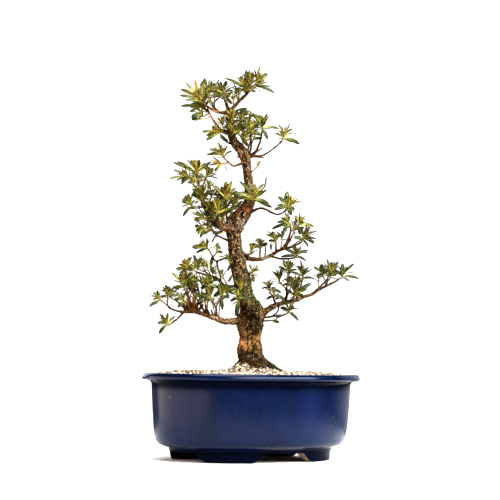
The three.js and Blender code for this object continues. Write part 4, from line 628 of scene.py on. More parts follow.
class Paint:
    """One material and the nodes that it is made with. Its textures are laid out in millimetres."""

    def __init__(self, name, **sockets):
        self.material = bpy.data.materials.new(name)
        self.material.use_nodes = True
        self.tree = self.material.node_tree
        self.shader = self.tree.nodes["Principled BSDF"]
        for label, value in sockets.items():
            self.shader.inputs[label.replace("_", " ")].default_value = value
        self.spot = self.scaled((1, 1, 1))

    def add(self, kind, sockets, **settings):
        made = self.tree.nodes.new("ShaderNode" + kind)
        for label, value in settings.items():
            setattr(made, label, value)
        for label, value in sockets.items():
            if isinstance(value, bpy.types.NodeSocket):
                self.tree.links.new(value, made.inputs[label])
            else:
                made.inputs[label].default_value = value
        return made

    def vector_math(self, operation, a, b, output="Value"):
        return self.add("VectorMath", {0: a, 1: tuple(b)}, operation=operation).outputs[output]

    def scaled(self, stretch):
        """The place in millimetres, stretched along each axis."""
        object_place = self.add("TexCoord", {}).outputs["Object"]
        return self.vector_math("MULTIPLY", object_place, Vector(stretch) / MM, "Vector")

    def height(self):
        return self.add("SeparateXYZ", {0: self.spot}).outputs["Z"]

    def value(self, label):
        """What a mesh holds at its points under a label."""
        return self.add("Attribute", {}, attribute_name=label).outputs["Fac"]

    def noise(self, size, detail=3, roughness=0.55, spot=None):
        sockets = {"Vector": spot or self.spot, "Scale": 1 / size, "Detail": detail, "Roughness": roughness}
        return self.add("TexNoise", sockets).outputs[0]

    def cells(self, size, output="Distance", spot=None):
        return self.add("TexVoronoi", {"Vector": spot or self.spot, "Scale": 1 / size}).outputs[output]

    def math(self, operation, a, b=0.0, c=0.0):
        return self.add("Math", {0: a, 1: b, 2: c}, operation=operation).outputs[0]

    def plus(self, a, b):
        return self.math("ADD", a, b)

    def times(self, product, *others):
        for each in others:
            product = self.math("MULTIPLY", product, each)
        return product

    def between(self, value, low, high, to_low=0.0, to_high=1.0):
        """value from low to high, carried smoothly to the other two numbers."""
        sockets = {"Value": value, "From Min": low, "From Max": high, "To Min": to_low, "To Max": to_high}
        return self.add("MapRange", sockets, interpolation_type="SMOOTHSTEP").outputs[0]

    def clouds(self, size, low, high, detail=3, roughness=0.55):
        """Soft patches that run from one number to another."""
        return self.between(self.noise(size, detail, roughness), 0.3, 0.7, low, high)

    def ramp(self, value, *stops):
        made = self.add("ValToRGB", {"Fac": value})
        elements = made.color_ramp.elements
        for element, (position, color) in zip(elements, (stops[0], stops[-1])):
            element.position, element.color = position, (*color, 1)
        for position, color in stops[1:-1]:
            elements.new(position).color = (*color, 1)
        return made.outputs["Color"]

    def mix(self, share, a, b, blend="MIX"):
        a, b = ((*each, 1) if isinstance(each, tuple) else each for each in (a, b))
        return self.add("Mix", {0: share, 6: a, 7: b}, data_type="RGBA", blend_type=blend).outputs[2]

    def tinted(self, color, tint):
        """A colour multiplied by another one."""
        return self.mix(1.0, color, tint, "MULTIPLY")

    def over(self, under, color, *shares):
        """A colour laid over another one, as far as the product of the shares says."""
        return self.mix(self.times(*shares), under, color)

    def patch(self, under, color, centre, radius, core, share, ragged=None):
        """A colour round a place: none of it at the radius and its full share within the core."""
        gap = self.vector_math("DISTANCE", self.spot, centre)
        if ragged:
            gap = self.plus(gap, ragged)
        return self.over(under, color, self.between(gap, radius, core, 0, share))

    def bump(self, height, distance, strength, normal=None):
        sockets = {"Height": height, "Distance": distance * MM, "Strength": strength}
        if normal:
            sockets["Normal"] = normal
        return self.add("Bump", sockets).outputs[0]

    def finish(self, **links):
        for label, value in links.items():
            self.tree.links.new(value, self.shader.inputs[label.replace("_", " ")])
        return self.material


# ---- The pot


def pot_section():
    """The pot's section: in from the lip's edge, and height, from the middle of the underside round
    to the middle of the floor inside."""
    lip_under = RIM_TOP - RIM_DROP
    stretches = [
        # the bottom and the foot ring's inner edge
        (RING_INSET + RING_BAND, UNDERSIDE, [(2, 0), (0.8, -0.4)]),
        (RING_INSET + RING_BAND, FOOT_HEIGHT, [(0, 0.6), (-0.8, 0)]),
        # the ring's outer edge, and the sweep out and up the wall
        (RING_INSET, FOOT_HEIGHT, [(1.2, 0), (0.2, 0.5), (-0.4, 1.6), (-0.6, 3.4), (-1.6, 4.6)]),
        (RING_INSET, FOOT_HEIGHT, [(-7, 6), (-13.2, 8.8), (-17.2, 14)]),
        (OVERHANG, FOOT_HEIGHT, [(5, 22), (3.4, 31), (1.7, 52), (0.5, 72)]),
        (OVERHANG, lip_under, [(0, -6), (-0.8, -3.4), (-2.6, -1.6)]),
        # under the lip, over it and down inside it
        (0, lip_under, [(6.5, -0.5), (3.2, 0), (1.2, 0.6), (0.2, 1.6), (0, 2.6)]),
        (0, RIM_TOP - RIM_DROP / 2, [(0.5, 0.4)]),
        (0, RIM_TOP, [(1.4, -2), (2.6, -0.8), (4.4, -0.2), (6.6, 0), (10, -0.5)]),
        (OVERHANG, RIM_TOP, [(3, -1)]),
        (OVERHANG + WALL, RIM_TOP, [(-1.6, -1.3), (0, -2.6), (0.6, -12)]),
        # down the inside to the floor
        (OVERHANG + WALL, FLOOR_TOP, [(4.2, 17), (8, 8)]),
        (RING_INSET, FLOOR_TOP, [(-2, 3), (6, 0)]),
    ]
    return [(inset + x, height + z) for inset, height, steps in stretches for x, z in steps]


def oval_point(inset, angle, height):
    x = (RIM_LENGTH / 2 - inset) * math.cos(angle)
    y = (RIM_WIDTH / 2 - inset) * math.sin(angle)
    return Vector((x, y, height))


def oval(inset, height, sides=POT_SIDES):
    return [oval_point(inset, TURN * i / sides, height) for i in range(sides)]


def oval_share(x, y, inset):
    """How far out a place is, as a share of the way to the oval at an inset from the lip's edge."""
    return math.hypot(x / (RIM_LENGTH / 2 - inset), y / (RIM_WIDTH / 2 - inset))


def pot_body(shape):
    """The thrown body. Its wall is a little uneven, as a hand-finished mould leaves it."""
    loops = [[Vector((0, 0, UNDERSIDE))]]
    for inset, height in pot_section():
        outside = FOOT_HEIGHT + 4 < height < RIM_TOP - RIM_DROP - 2 and inset < RING_INSET
        loop = []
        for i in range(POT_SIDES):
            angle = TURN * i / POT_SIDES
            around = Vector((2.2 * math.cos(angle), 2.2 * math.sin(angle), 0.02 * height))
            uneven = WALL_UNEVEN * noise.noise(around) if outside else 0
            loop.append(oval_point(inset + uneven, angle, height))
        loops.append(loop)
    loops.append([Vector((0, 0, FLOOR_TOP))])
    shape.loft(loops)


def foot(shape, middle):
    """A stretch of the ring whose underside sweeps down to the ground, with softened edges."""
    outer = RING_INSET + 0.6
    inner = RING_INSET + RING_BAND - 1
    top = FOOT_HEIGHT + 2
    loops = []
    for i in range(FOOT_STEPS + 1):
        step = FOOT_TOP_HALF * (2 * i / FOOT_STEPS - 1)
        rise = ease(abs(step), FOOT_BOTTOM_HALF, FOOT_TOP_HALF)
        low = (FOOT_HEIGHT + 1) * rise
        soft = FOOT_SOFT * (1 - rise) + 0.05
        batter = FOOT_BATTER * (1 - rise)
        corners = [
            (outer, top),
            (outer + 0.7 * batter, low + (top - low) * 0.35),
            (outer + batter, low + soft),
            (outer + batter + 0.3 * soft, low + 0.3 * soft),
            (outer + batter + soft, low),
            (inner - soft, low),
            (inner - 0.3 * soft, low + 0.3 * soft),
            (inner, low + soft),
            (inner, top),
        ]
        angle = math.radians(middle + step)
        loops.append([oval_point(inset, angle, height) for inset, height in corners])
    shape.loft(loops)


def boolean(target, other, operation):
    """Joins or cuts two objects for good, and removes the second one."""
    cut = target.modifiers.new("boolean", "BOOLEAN")
    cut.operation = operation
    cut.object = other
    cut.solver = "EXACT"
    made = made_mesh(target)
    target.modifiers.remove(cut)
    target.data = made
    bpy.data.objects.remove(other)


# Pale flaws in the glaze: where the photograph shows each, and its radius in mm.
FLAWS = [
    ((171, 397), 1.1),
    ((173, 399), 0.7),
    ((333, 417), 0.8),
    ((338, 419), 0.9),
    ((336, 423), 0.7),
    ((332, 422), 0.6),
]
SIGHT_REACH = 120  # how far before the tree's middle a line of sight is followed, in mm
SIGHT_STEP = 0.5


def on_wall(x, y):
    """The point of the pot's wall that is seen at a place in the front elevation."""
    for step in range(int(SIGHT_REACH / SIGHT_STEP)):
        point = place((x, y, step * SIGHT_STEP - SIGHT_REACH))
        if oval_share(point.x, point.y, OVERHANG + 1.5) < 1:
            break
    return point


def pot_glaze():
    paint = Paint("cobalt_glaze")
    height = paint.height()
    cloud = paint.noise(38, spot=paint.scaled((1, 1, 0.45)))
    run = paint.noise(7, 4, spot=paint.scaled((1, 1, 0.16)))
    depth = paint.plus(paint.times(cloud, 0.85), paint.times(run, 0.15))
    stops = [(0.3, (0.001, 0.005, 0.022)), (0.5, (0.002, 0.008, 0.034)), (0.72, (0.004, 0.012, 0.050))]
    color = paint.ramp(depth, *stops)
    # painted shade: the glaze is darkened in the cove under the lip and just above the feet, where shade
    # falls
    lip = RIM_TOP - RIM_DROP
    under_lip_shade = paint.times(paint.between(height, lip - 18, lip - 5), paint.between(height, lip + 1, lip))
    over_feet_shade = paint.between(height, FOOT_HEIGHT + 8, FOOT_HEIGHT + 1)
    cove_shade = paint.math("MAXIMUM", under_lip_shade, over_feet_shade)
    color = paint.over(color, (0.001, 0.002, 0.007), cove_shade, 0.8)
    # iron specks, flaws and pin holes
    color = paint.over(color, (0.10, 0.11, 0.17), paint.between(paint.cells(5.5), 0.05, 0.03), 0.6)
    for (x, y), radius in FLAWS:
        color = paint.patch(color, (0.20, 0.23, 0.34), on_wall(x, y), radius + 0.5, radius, 0.6)
    pits = paint.between(paint.cells(9), 0.075, 0.045)
    ripple = paint.bump(paint.noise(24, 2), 0.5, 0.35)
    sunk = paint.bump(paint.times(pits, -1), 0.4, 0.8, ripple)
    # the lip's edge is the glossiest, and its flat top is matt with dust and lime
    smoother = paint.between(height, lip, lip + 2, 0, 0.12)
    roughness = paint.math("SUBTRACT", paint.clouds(16, 0.25, 0.29, 4), smoother)
    top = paint.between(height, RIM_TOP - 1.5, RIM_TOP - 0.7, 1, 0.08)
    shine = paint.times(paint.between(cove_shade, 0, 1, 0.22, 0.03), top)
    return paint.finish(Base_Color=color, Roughness=roughness, Normal=sunk, Specular_IOR_Level=shine)


def pot_clay():
    """The bare stoneware of the underside and the inside."""
    paint = Paint("bare_stoneware")
    body = paint.ramp(paint.noise(6, 5), (0.3, (0.10, 0.065, 0.045)), (0.7, (0.22, 0.15, 0.105)))
    color = paint.over(body, (0.05, 0.04, 0.035), paint.between(paint.cells(1.6), 0.28, 0.18), 0.5)
    grain = paint.bump(paint.noise(1.1, 4), 0.25, 0.6)
    return paint.finish(Base_Color=color, Roughness=paint.clouds(2, 0.75, 0.95), Normal=grain)


def make_pot():
    shape = Shape()
    pot_body(shape)
    body = loose("pot_work", shape)
    for middle in (FOOT_ANGLE, 180 - FOOT_ANGLE, 180 + FOOT_ANGLE, 360 - FOOT_ANGLE):
        added = Shape()
        foot(added, middle)
        boolean(body, loose("foot_work", added), "UNION")
    for side in (-1, 1):
        drill = Shape()
        heights = (UNDERSIDE - DRILL_SPARE, FLOOR_TOP + DRILL_SPARE)
        ends = [Vector((side * DRAIN_OFFSET, 0, height)) for height in heights]
        drill.loft(tube(ends, [DRAIN_RADIUS] * 2, DRAIN_SIDES))
        boolean(body, loose("drill_work", drill), "DIFFERENCE")
    mesh = body.data
    bpy.data.objects.remove(body)
    mesh.name = "glazed_pot"
    # bare clay where the glaze was wiped: under the feet and the bottom, and inside below the lip
    for face in mesh.polygons:
        x, y, z = (each / MM for each in face.center)
        inwards = face.normal.x * x + face.normal.y * y < 0 or face.normal.z > 0.5
        inside = inwards and FLOOR_TOP - 1 < z < RIM_TOP - 3.5
        ring = oval_share(x, y, RING_INSET)
        beneath = z < UNDERSIDE + 0.5 and face.normal.z < -0.7 and (ring < 0.92 or z < 1.5)
        drain = ring < 0.7 and z < FLOOR_TOP + 1
        face.material_index = int(inside or beneath or drain)
    stand_in("glazed_pot", mesh, "glaze", [pot_glaze(), pot_clay()], "pot", sharp=38)


# ---- The soil and what keeps it in the pot

GRAIN_PITCH = 3.0
GRAIN_JITTER = 0.9
GRAIN_SIZE = 2.9
GRAIN_SPREAD = 0.24  # of the sizes, as a share of each
GRAIN_SIZES = (1.8, 5)
GRAIN_STRETCH = (0.72, 1.2)
GRAIN_KNOCKS = (0.84, 1.14)
GRAIN_SUNK = 1.2
BIG_GRAIN = 3.7  # a grain over this size gets a finer form
LOOSE_GRAINS = 900
# grains heaped against the front left of the trunk's foot
HEAP_PLACE = (243, 364, -15)
HEAP_GRAINS = 300
HEAP_REACH = 13
HEAP_DEPTH = 6
HEAP_HEIGHT = 9
BED_SIDES = 96
BED_RINGS = 30
BED_DEPTH = 1.8  # of the bed's top under the even surface
CLIP_SIDES = 14
SOIL_INNER = OVERHANG + WALL + GAP

trunk_foot = place(ROOT_CENTRE)


def soil_height(x, y):
    share = oval_share(x, y, OVERHANG + WALL)
    near = math.hypot(x - trunk_foot.x, y - trunk_foot.y) / MOUND_RADIUS
    return SOIL_EDGE + SOIL_CROWN * (1 - share**4) + MOUND_HEIGHT * math.exp(-near * near)


def soil_bed(shape):
    """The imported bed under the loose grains."""
    lower = [
        (RING_INSET + 6.5, FLOOR_TOP + GAP),
        (RING_INSET - 1.5, FLOOR_TOP + 3 + GAP),
        (OVERHANG + WALL + 8.4, FLOOR_TOP + 8.4),
        (SOIL_INNER + 4.4, FLOOR_TOP + 17),
        (SOIL_INNER + 1, RIM_TOP - 12),
    ]
    loops = [[Vector((0, 0, FLOOR_TOP + GAP))]]
    loops += [oval(inset, height, BED_SIDES) for inset, height in lower]
    for ring in range(BED_RINGS):
        share = 1 - ring / BED_RINGS
        loop = []
        for point in oval(SOIL_INNER, 0, BED_SIDES):
            x, y = point.x * share, point.y * share
            uneven = 0.5 * noise.noise(Vector((x, y, 0)) * 0.4)
            loop.append(Vector((x, y, soil_height(x, y) - BED_DEPTH + uneven)))
        loops.append(loop)
    loops.append([Vector((0, 0, soil_height(0, 0) - BED_DEPTH))])
    shape.loft(loops, [(0.35,)] * len(loops))


def grain_form(subdivisions):
    """Corners and triangles of a ball that grains are knocked out of."""
    work = bmesh.new()
    bmesh.ops.create_icosphere(work, subdivisions=subdivisions, radius=0.5)
    work.verts.index_update()
    corners = np.array([corner.co[:] for corner in work.verts])
    triangles = [tuple(corner.index for corner in face.verts) for face in work.faces]
    work.free()
    return corners, triangles


def grain_spots(chance):
    """Where the grains lie: a jittered lattice over the soil, loose ones on top and a heap."""
    half_x = RIM_LENGTH / 2 - SOIL_INNER
    half_y = RIM_WIDTH / 2 - SOIL_INNER
    spots = []
    row_step = GRAIN_PITCH * math.sqrt(3) / 2
    for row in range(int(-half_y / row_step), int(half_y / row_step) + 1):
        for column in range(int(-half_x / GRAIN_PITCH) - 1, int(half_x / GRAIN_PITCH) + 2):
            x = (column + 0.5 * (row % 2)) * GRAIN_PITCH + chance.uniform(-GRAIN_JITTER, GRAIN_JITTER)
            y = row * row_step + chance.uniform(-GRAIN_JITTER, GRAIN_JITTER)
            spots.append((x, y, chance.uniform(-0.8, 0.5)))
    for _ in range(LOOSE_GRAINS):
        angle = chance.uniform(0, TURN)
        reach = math.sqrt(chance.uniform(0, 1))
        x, y = half_x * reach * math.cos(angle), half_y * reach * math.sin(angle)
        spots.append((x, y, chance.uniform(0.8, 1.8)))
    heap = place(HEAP_PLACE)
    for _ in range(HEAP_GRAINS):
        x, y = heap.x + chance.normal(0, HEAP_REACH), heap.y + chance.normal(0, HEAP_DEPTH)
        away = math.hypot(x - heap.x, y - heap.y) / HEAP_REACH
        spots.append((x, y, HEAP_HEIGHT * math.exp(-away * away) * chance.uniform(0.1, 1)))
    inside = [spot for spot in spots if oval_share(*spot[:2], SOIL_INNER + 1.6) < 1]
    return [(x, y, soil_height(x, y) + lift - GRAIN_SUNK) for x, y, lift in inside]


def grains(shape):
    chance = np.random.RandomState(7)
    fine, coarse = grain_form(2), grain_form(1)
    for spot in grain_spots(chance):
        size = chance.lognormal(math.log(GRAIN_SIZE), GRAIN_SPREAD)
        size = min(max(size, GRAIN_SIZES[0]), GRAIN_SIZES[1])
        corners, triangles = fine if size > BIG_GRAIN else coarse
        stretch = chance.uniform(*GRAIN_STRETCH, 3)
        knocks = chance.uniform(*GRAIN_KNOCKS, len(corners))
        turn, _ = np.linalg.qr(chance.normal(size=(3, 3)))
        points = (corners * knocks[:, None] * stretch * size) @ turn + np.array(spot)
        if np.linalg.det(turn) < 0:
            triangles = [triangle[::-1] for triangle in triangles]
        tint = (chance.uniform(0, 1),)
        shape.add([Vector(point) for point in points], [tint] * len(points), triangles, 1)


def bed_earth():
    paint = Paint("packed_bed", Roughness=0.95)
    color = paint.ramp(paint.cells(2.4, "Color"), (0.2, (0.05, 0.028, 0.014)), (0.8, (0.18, 0.12, 0.07)))
    return paint.finish(Base_Color=color, Normal=paint.bump(paint.cells(2.4), 1.2, 0.8))


def grain_stone():
    """Pumice, akadama and river grit: mostly cream, with white, tan, rust and grey among it."""
    paint = Paint("soil_grains")
    color = paint.ramp(
        paint.value("tint"),
        (0.0, (0.020, 0.009, 0.004)),
        (0.12, (0.055, 0.028, 0.012)),
        (0.22, (0.18, 0.105, 0.055)),
        (0.38, (0.33, 0.25, 0.165)),
        (0.58, (0.44, 0.39, 0.31)),
        (0.86, (0.56, 0.52, 0.46)),
        (1.0, (0.10, 0.09, 0.08)),
    )
    mottle = paint.between(paint.noise(0.9), 0.35, 0.65, 0.72, 1.1)
    color = paint.tinted(color, paint.ramp(mottle, (0.7, (0.7, 0.68, 0.66)), (1.0, (1, 1, 1))))
    grain = paint.bump(paint.noise(0.45), 0.12, 0.7)
    return paint.finish(Base_Color=color, Roughness=paint.clouds(1.7, 0.8, 1.0), Normal=grain)


def make_soil():
    shape = Shape("tint")
    soil_bed(shape)
    grains(shape)
    mesh = shape.mesh("soil_and_grains")
    stand_in("soil_and_grains", mesh, "soil", [bed_earth(), grain_stone()], "soil", sharp=50)


def clip_route(side):
    """The middle of a clip's wire, with its bends rounded."""
    over = FLOOR_TOP + 2 * GAP + SCREEN_THICK + CLIP_RADIUS
    under = UNDERSIDE - GAP - CLIP_RADIUS
    offset = (SCREEN_SIZE - SCREEN_BAR) / SCREEN_CELLS / 2
    half = [
        (CLIP_HALF + CLIP_TOE, under),
        (CLIP_HALF + 4, under),
        (CLIP_HALF + 1.6, under + 0.1),
        (CLIP_HALF + 0.4, under + 0.7),
        (CLIP_HALF, under + 2),
        (CLIP_HALF, over - 2),
        (CLIP_HALF - 0.3, over - 0.7),
        (CLIP_HALF - 1.4, over - 0.05),
        (0, over),
    ]
    corners = [(-along, height) for along, height in half] + half[-2::-1]
    return [Vector((side * DRAIN_OFFSET + along, offset, height)) for along, height in corners]


def screen_plastic():
    paint = Paint("screen_plastic", Specular_IOR_Level=0.4)
    color = paint.ramp(paint.noise(3, 4), (0.3, (0.010, 0.010, 0.011)), (0.7, (0.028, 0.028, 0.030)))
    grain = paint.bump(paint.noise(0.5), 0.05, 0.5)
    return paint.finish(Base_Color=color, Roughness=paint.clouds(5, 0.42, 0.62), Normal=grain)


def clip_wire():
    paint = Paint("clip_wire", Metallic=1.0)
    color = paint.ramp(paint.noise(1.5, 4), (0.3, (0.50, 0.49, 0.48)), (0.7, (0.74, 0.74, 0.74)))
    drawn = paint.bump(paint.noise(0.4, 2, spot=paint.scaled((0.1, 1, 1))), 0.03, 0.5)
    return paint.finish(Base_Color=color, Roughness=paint.clouds(2, 0.28, 0.45), Normal=drawn)


def make_drains():
    plastic, wire = screen_plastic(), clip_wire()
    for side, where in ((-1, "left"), (1, "right")):
        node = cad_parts[f"drain_screen_{where}"]
        node.data.materials.clear()
        node.data.materials.append(plastic)
        shape = Shape()
        route = clip_route(side)
        shape.loft(tube(route, [CLIP_RADIUS] * len(route), CLIP_SIDES))
        name = f"wire_clip_{where}"
        stand_in(name, shape.mesh(name), "wire", [wire], f"screen_clip_{where}", sharp=50)


# ---- Wood

TRUNK_STEPS = 5  # rings for each station of the trunk's line
TRUNK_SIDES = 48
# ridges round the trunk: height as a share of its radius, count, turn for each station, and start
TRUNK_RIDGES = [(0.05, 3, 0.45, 0), (0.035, 5, -0.8, 1)]
BRANCH_STEPS = 5
BRANCH_SIDES = 20
KNUCKLES = 0.16  # of a branch, as a share of its radius
STOUT = 2  # a branch over this radius in mm flares more where it starts
TWIG_SIDES = 9
TWIG_WANDER = 0.35
TWIG_KNOTS = 0.12
VOXEL = 0.86
SMOOTH_PASSES = 3
FLAKES = 2400
FLAKE_LENGTH = (1.3, 3.4)
FLAKE_HALF = (0.4, 1.0)
FLAKE_LIFT = (0.1, 0.5)
FLAKE_SKIN = 0.14
MOSS_TUFTS = 900
TUFT_SIZE = (0.8, 1.9)
TUFT_LIFT = 0.15
MOSS_BELT = (192, 206, 222, 240)  # heights where the moss begins, is full, thins and ends


def trunk_tube():
    stations = [(*place(row[:3]), row[3] * SQUARE) for row in TRUNK_LINE]
    route, radii = smooth_route(stations, TRUNK_STEPS)

    def ridges(angle, i):
        share = 1
        for height, count, turn, start in TRUNK_RIDGES:
            share += height * math.sin(count * angle + turn * i / TRUNK_STEPS + start)
        return share

    return route, radii, tube(route, radii, TRUNK_SIDES, ridges)


def root_tube(degrees, reach, radius):
    angle = math.radians(degrees)
    ahead = RIGHT * math.cos(angle) + AWAY * math.sin(angle)
    stations = []
    for out, height, share in ROOT_ROUTE:
        flat = place(ROOT_CENTRE) + ahead * (out * reach)
        stations.append((flat.x, flat.y, height, radius * share))
    route, radii = smooth_route(stations, BRANCH_STEPS)
    return route, radii, tube(route, radii, BRANCH_SIDES)


def travelled(route):
    """How far along a route each of its points is."""
    steps = [(after - before).length for before, after in zip(route, route[1:])]
    return [sum(steps[:i]) for i in range(len(route))]


def branch_tube(line, seed):
    """A branch with the knuckles and small bends that years of pruning leave."""
    route, radii = smooth_route([(*place(row[:3]), row[3]) for row in line], BRANCH_STEPS)
    stout = line[0][3] > STOUT
    for i, along in enumerate(travelled(route)):
        knuckle = noise.noise(Vector((along / 5, seed * 3.7, 0)))
        collar = 0.45 * math.exp(-along / 5) if stout else 0.3 * math.exp(-along / 3)
        radii[i] *= 1 + KNUCKLES * knuckle + collar
    return route, radii, tube(route, radii, BRANCH_SIDES)


def merged_core(tubes):
    """One skin round overlapping tubes, with their unions rounded."""
    shape = Shape()
    for _, _, loops in tubes:
        shape.loft(loops)
    work = loose("core_work", shape)
    remesh = work.modifiers.new("remesh", "REMESH")
    remesh.mode = "VOXEL"
    remesh.voxel_size = VOXEL * MM
    smooth = work.modifiers.new("smooth", "SMOOTH")
    smooth.factor = 0.5
    smooth.iterations = SMOOTH_PASSES
    made = made_mesh(work)
    bpy.data.objects.remove(work)
    return made


def bark_relief(at, girth):
    """How far the bark stands out at a place, in mm: plates split along the grain, and flakes."""
    plates = noise.noise(Vector((at.x / 5.5, at.y / 5.5, at.z / 11)))
    cracks = 1 - min(abs(noise.noise(Vector((at.x / 3.6, at.y / 3.6, at.z / 9 + 40)))) * 5, 1)
    flakes = noise.noise(Vector((at.x / 1.7, at.y / 1.7, at.z / 2.6 + 90)))
    rough = min(girth / 10, 1)
    return rough * (1.3 * plates - cracks**2 + 0.8 * flakes)


def add_core(shape, tubes):
    """Adds the merged old wood with its bark, and returns places on it: point, normal, girth."""
    mesh = merged_core(tubes)
    middles = [middle for route, _, _ in tubes for middle in route]
    radii = [radius for _, sizes, _ in tubes for radius in sizes]
    tree = search_tree(middles)
    surface, values = [], []
    for corner, normal in zip(mesh.vertices, mesh.vertex_normals):
        at, outward = corner.co / MM, Vector(normal.vector)
        girth = radii[tree.find(at)[1]]
        relief = bark_relief(at, girth)
        surface.append((at + outward * relief, outward, girth))
        values.append((girth, relief))
    faces = [tuple(face.vertices) for face in mesh.polygons]
    shape.add([at for at, _, _ in surface], values, faces)
    bpy.data.meshes.remove(mesh)
    return surface


def twig_tube(points, radii, seed, pointed=False):
    """A woody twig, thicker where it starts and knotted where leaves once stood."""
    stations = [(*place(point[:3]), radius) for point, radius in zip(points, radii)]
    if len(stations) == 2:
        stations.insert(1, tuple((a + b) / 2 for a, b in zip(*stations)))
    straight, sizes = smooth_route(stations, BRANCH_STEPS)
    route = []
    along = 0
    for i, at in enumerate(straight):
        if route:
            along += (at - route[-1]).length
        bend = Vector((along / 6, seed, 0))
        moves = [noise.noise(bend + UP * step) for step in (0, 5, 9)]
        route.append(at + Vector(moves) * TWIG_WANDER)
        knot = TWIG_KNOTS * max(math.sin(along * 1.1 + seed), 0) ** 3
        sizes[i] *= 1 + knot + 0.5 * math.exp(-along / 2.5)
    if pointed:
        sizes[-1] *= 0.45
    return route, sizes, tube(route, sizes, TWIG_SIDES)


def add_twigs(shape):
    rows = []
    for seed, one in enumerate(SPRAYS):
        last = len(one["twig"]) - 1
        ends = (one["radius"], min(one["radius"], SHOOT_RADIUS) * 0.85)
        radii = [lerp(*ends, i / last) for i in range(last + 1)]
        rows.append(twig_tube(one["twig"], radii, seed))
    for first_seed, lines, pointed in ((60, BARE_TWIGS, True), (90, CUT_STUBS, False)):
        for seed, line in enumerate(lines):
            rows.append(twig_tube(line, [row[3] for row in line], first_seed + seed, pointed))
    for _, sizes, loops in rows:
        shape.loft(loops, [(size, 0.2) for size in sizes])
    return rows


def add_flakes(shape, surface, chance):
    """Thin plates of old bark that have lifted at one end."""
    old = [spot for spot in surface if spot[2] > 3.5]
    for _ in range(FLAKES):
        at, normal, _ = old[chance.randint(len(old))]
        along = square_to(UP * chance.choice((-1, 1)) + RIGHT * chance.normal(0, 1), normal)
        across = along.cross(normal)
        length, half = chance.uniform(*FLAKE_LENGTH), chance.uniform(*FLAKE_HALF)
        lift = chance.uniform(*FLAKE_LIFT)
        loops = []
        for share, wide in ((0, 0.8), (0.45, 1), (0.85, 0.7)):
            middle = at + along * (length * (share - 0.25)) + normal * (lift * length * share**2 - 0.1)
            side, skin = across * (half * wide), normal * FLAKE_SKIN
            loops.append([middle + a * side + b * skin for a, b in ((-1, -1), (1, -1), (1, 1), (-1, 1))])
        loops.append([at + along * (length * 0.75) + normal * (lift * length)])
        tone = (6.0, chance.uniform(-0.5, 1.6))
        shape.loft(loops, [tone] * len(loops))


def add_moss(shape, surface, chance):
    """Cushions of moss on the old trunk, thick where the low branches leave it."""
    corners, triangles = grain_form(1)
    old = [spot for spot in surface if spot[2] > 4 and spot[0].z > 130]
    begin, full, thin, end = MOSS_BELT
    made = 0
    while made < MOSS_TUFTS:
        at, normal, _ = old[chance.randint(len(old))]
        belt = ease(at.z, begin, full) * (1 - ease(at.z, thin, end))
        if chance.uniform(0, 1) > 3 * (noise.noise(at / 9) + 0.9 * belt - 0.55):
            continue
        size = chance.uniform(*TUFT_SIZE)
        knocks = chance.uniform(0.8, 1.2, len(corners))
        lift = normal * TUFT_LIFT
        points = [at + Vector(corner) * (size * knock) + lift for corner, knock in zip(corners, knocks)]
        shape.add(points, [(chance.uniform(0, 1),)] * len(points), triangles)
        made += 1


# Where the bark is off or of another colour: the place, its radius in mm, how much and the colour.
BARE_PATCHES = [
    ((241.5, 345, -12), 7.5, 0.85, (0.50, 0.24, 0.10)),
    ((231, 226, -10), 8, 0.5, (0.33, 0.22, 0.16)),
    ((243, 206, -8), 11, 0.7, (0.34, 0.14, 0.075)),
    ((241, 223, -8), 8, 0.35, (0.38, 0.31, 0.25)),
    ((228, 237, -8), 8, 0.6, (0.05, 0.022, 0.01)),
    ((265, 258, -5), 9, 0.6, (0.40, 0.34, 0.25)),
    ((217, 317, -14), 7, 0.6, (0.44, 0.31, 0.22)),
    ((230, 318.5, -11), 9, 0.5, (0.40, 0.29, 0.19)),
    ((191, 304, -25), 12, 0.6, (0.11, 0.045, 0.02)),
]
PATCH_SOFT = 5  # the width of a patch's soft edge, in mm
# Where twigs are tan, and how far round it in mm.
TAN_TWIGS = [((211, 117, -10), 14), ((219, 222, -18), 12), ((190, 300, -22), 13), ((229, 160, -10), 14)]
# The bark's light and dark bands, partly painted shade below the low branches: heights in mm, and how light
# it is there.
BARK_BANDS = [
    (120, 0.14), (137.5, 0.25), (147.5, 1.0), (157.5, 1.0), (167.5, 0.3), (180, 0.15), (195, 0.2),
    (202.5, 0.6), (215, 0.9), (235, 0.65), (275, 0.6), (285, 0.85), (294, 0.35), (302.5, 0.35),
    (315, 1.1), (350, 0.9), (375, 0.5), (395, 1.3), (420, 1.2), (450, 0.6),
]
BAND_SCALE = 500


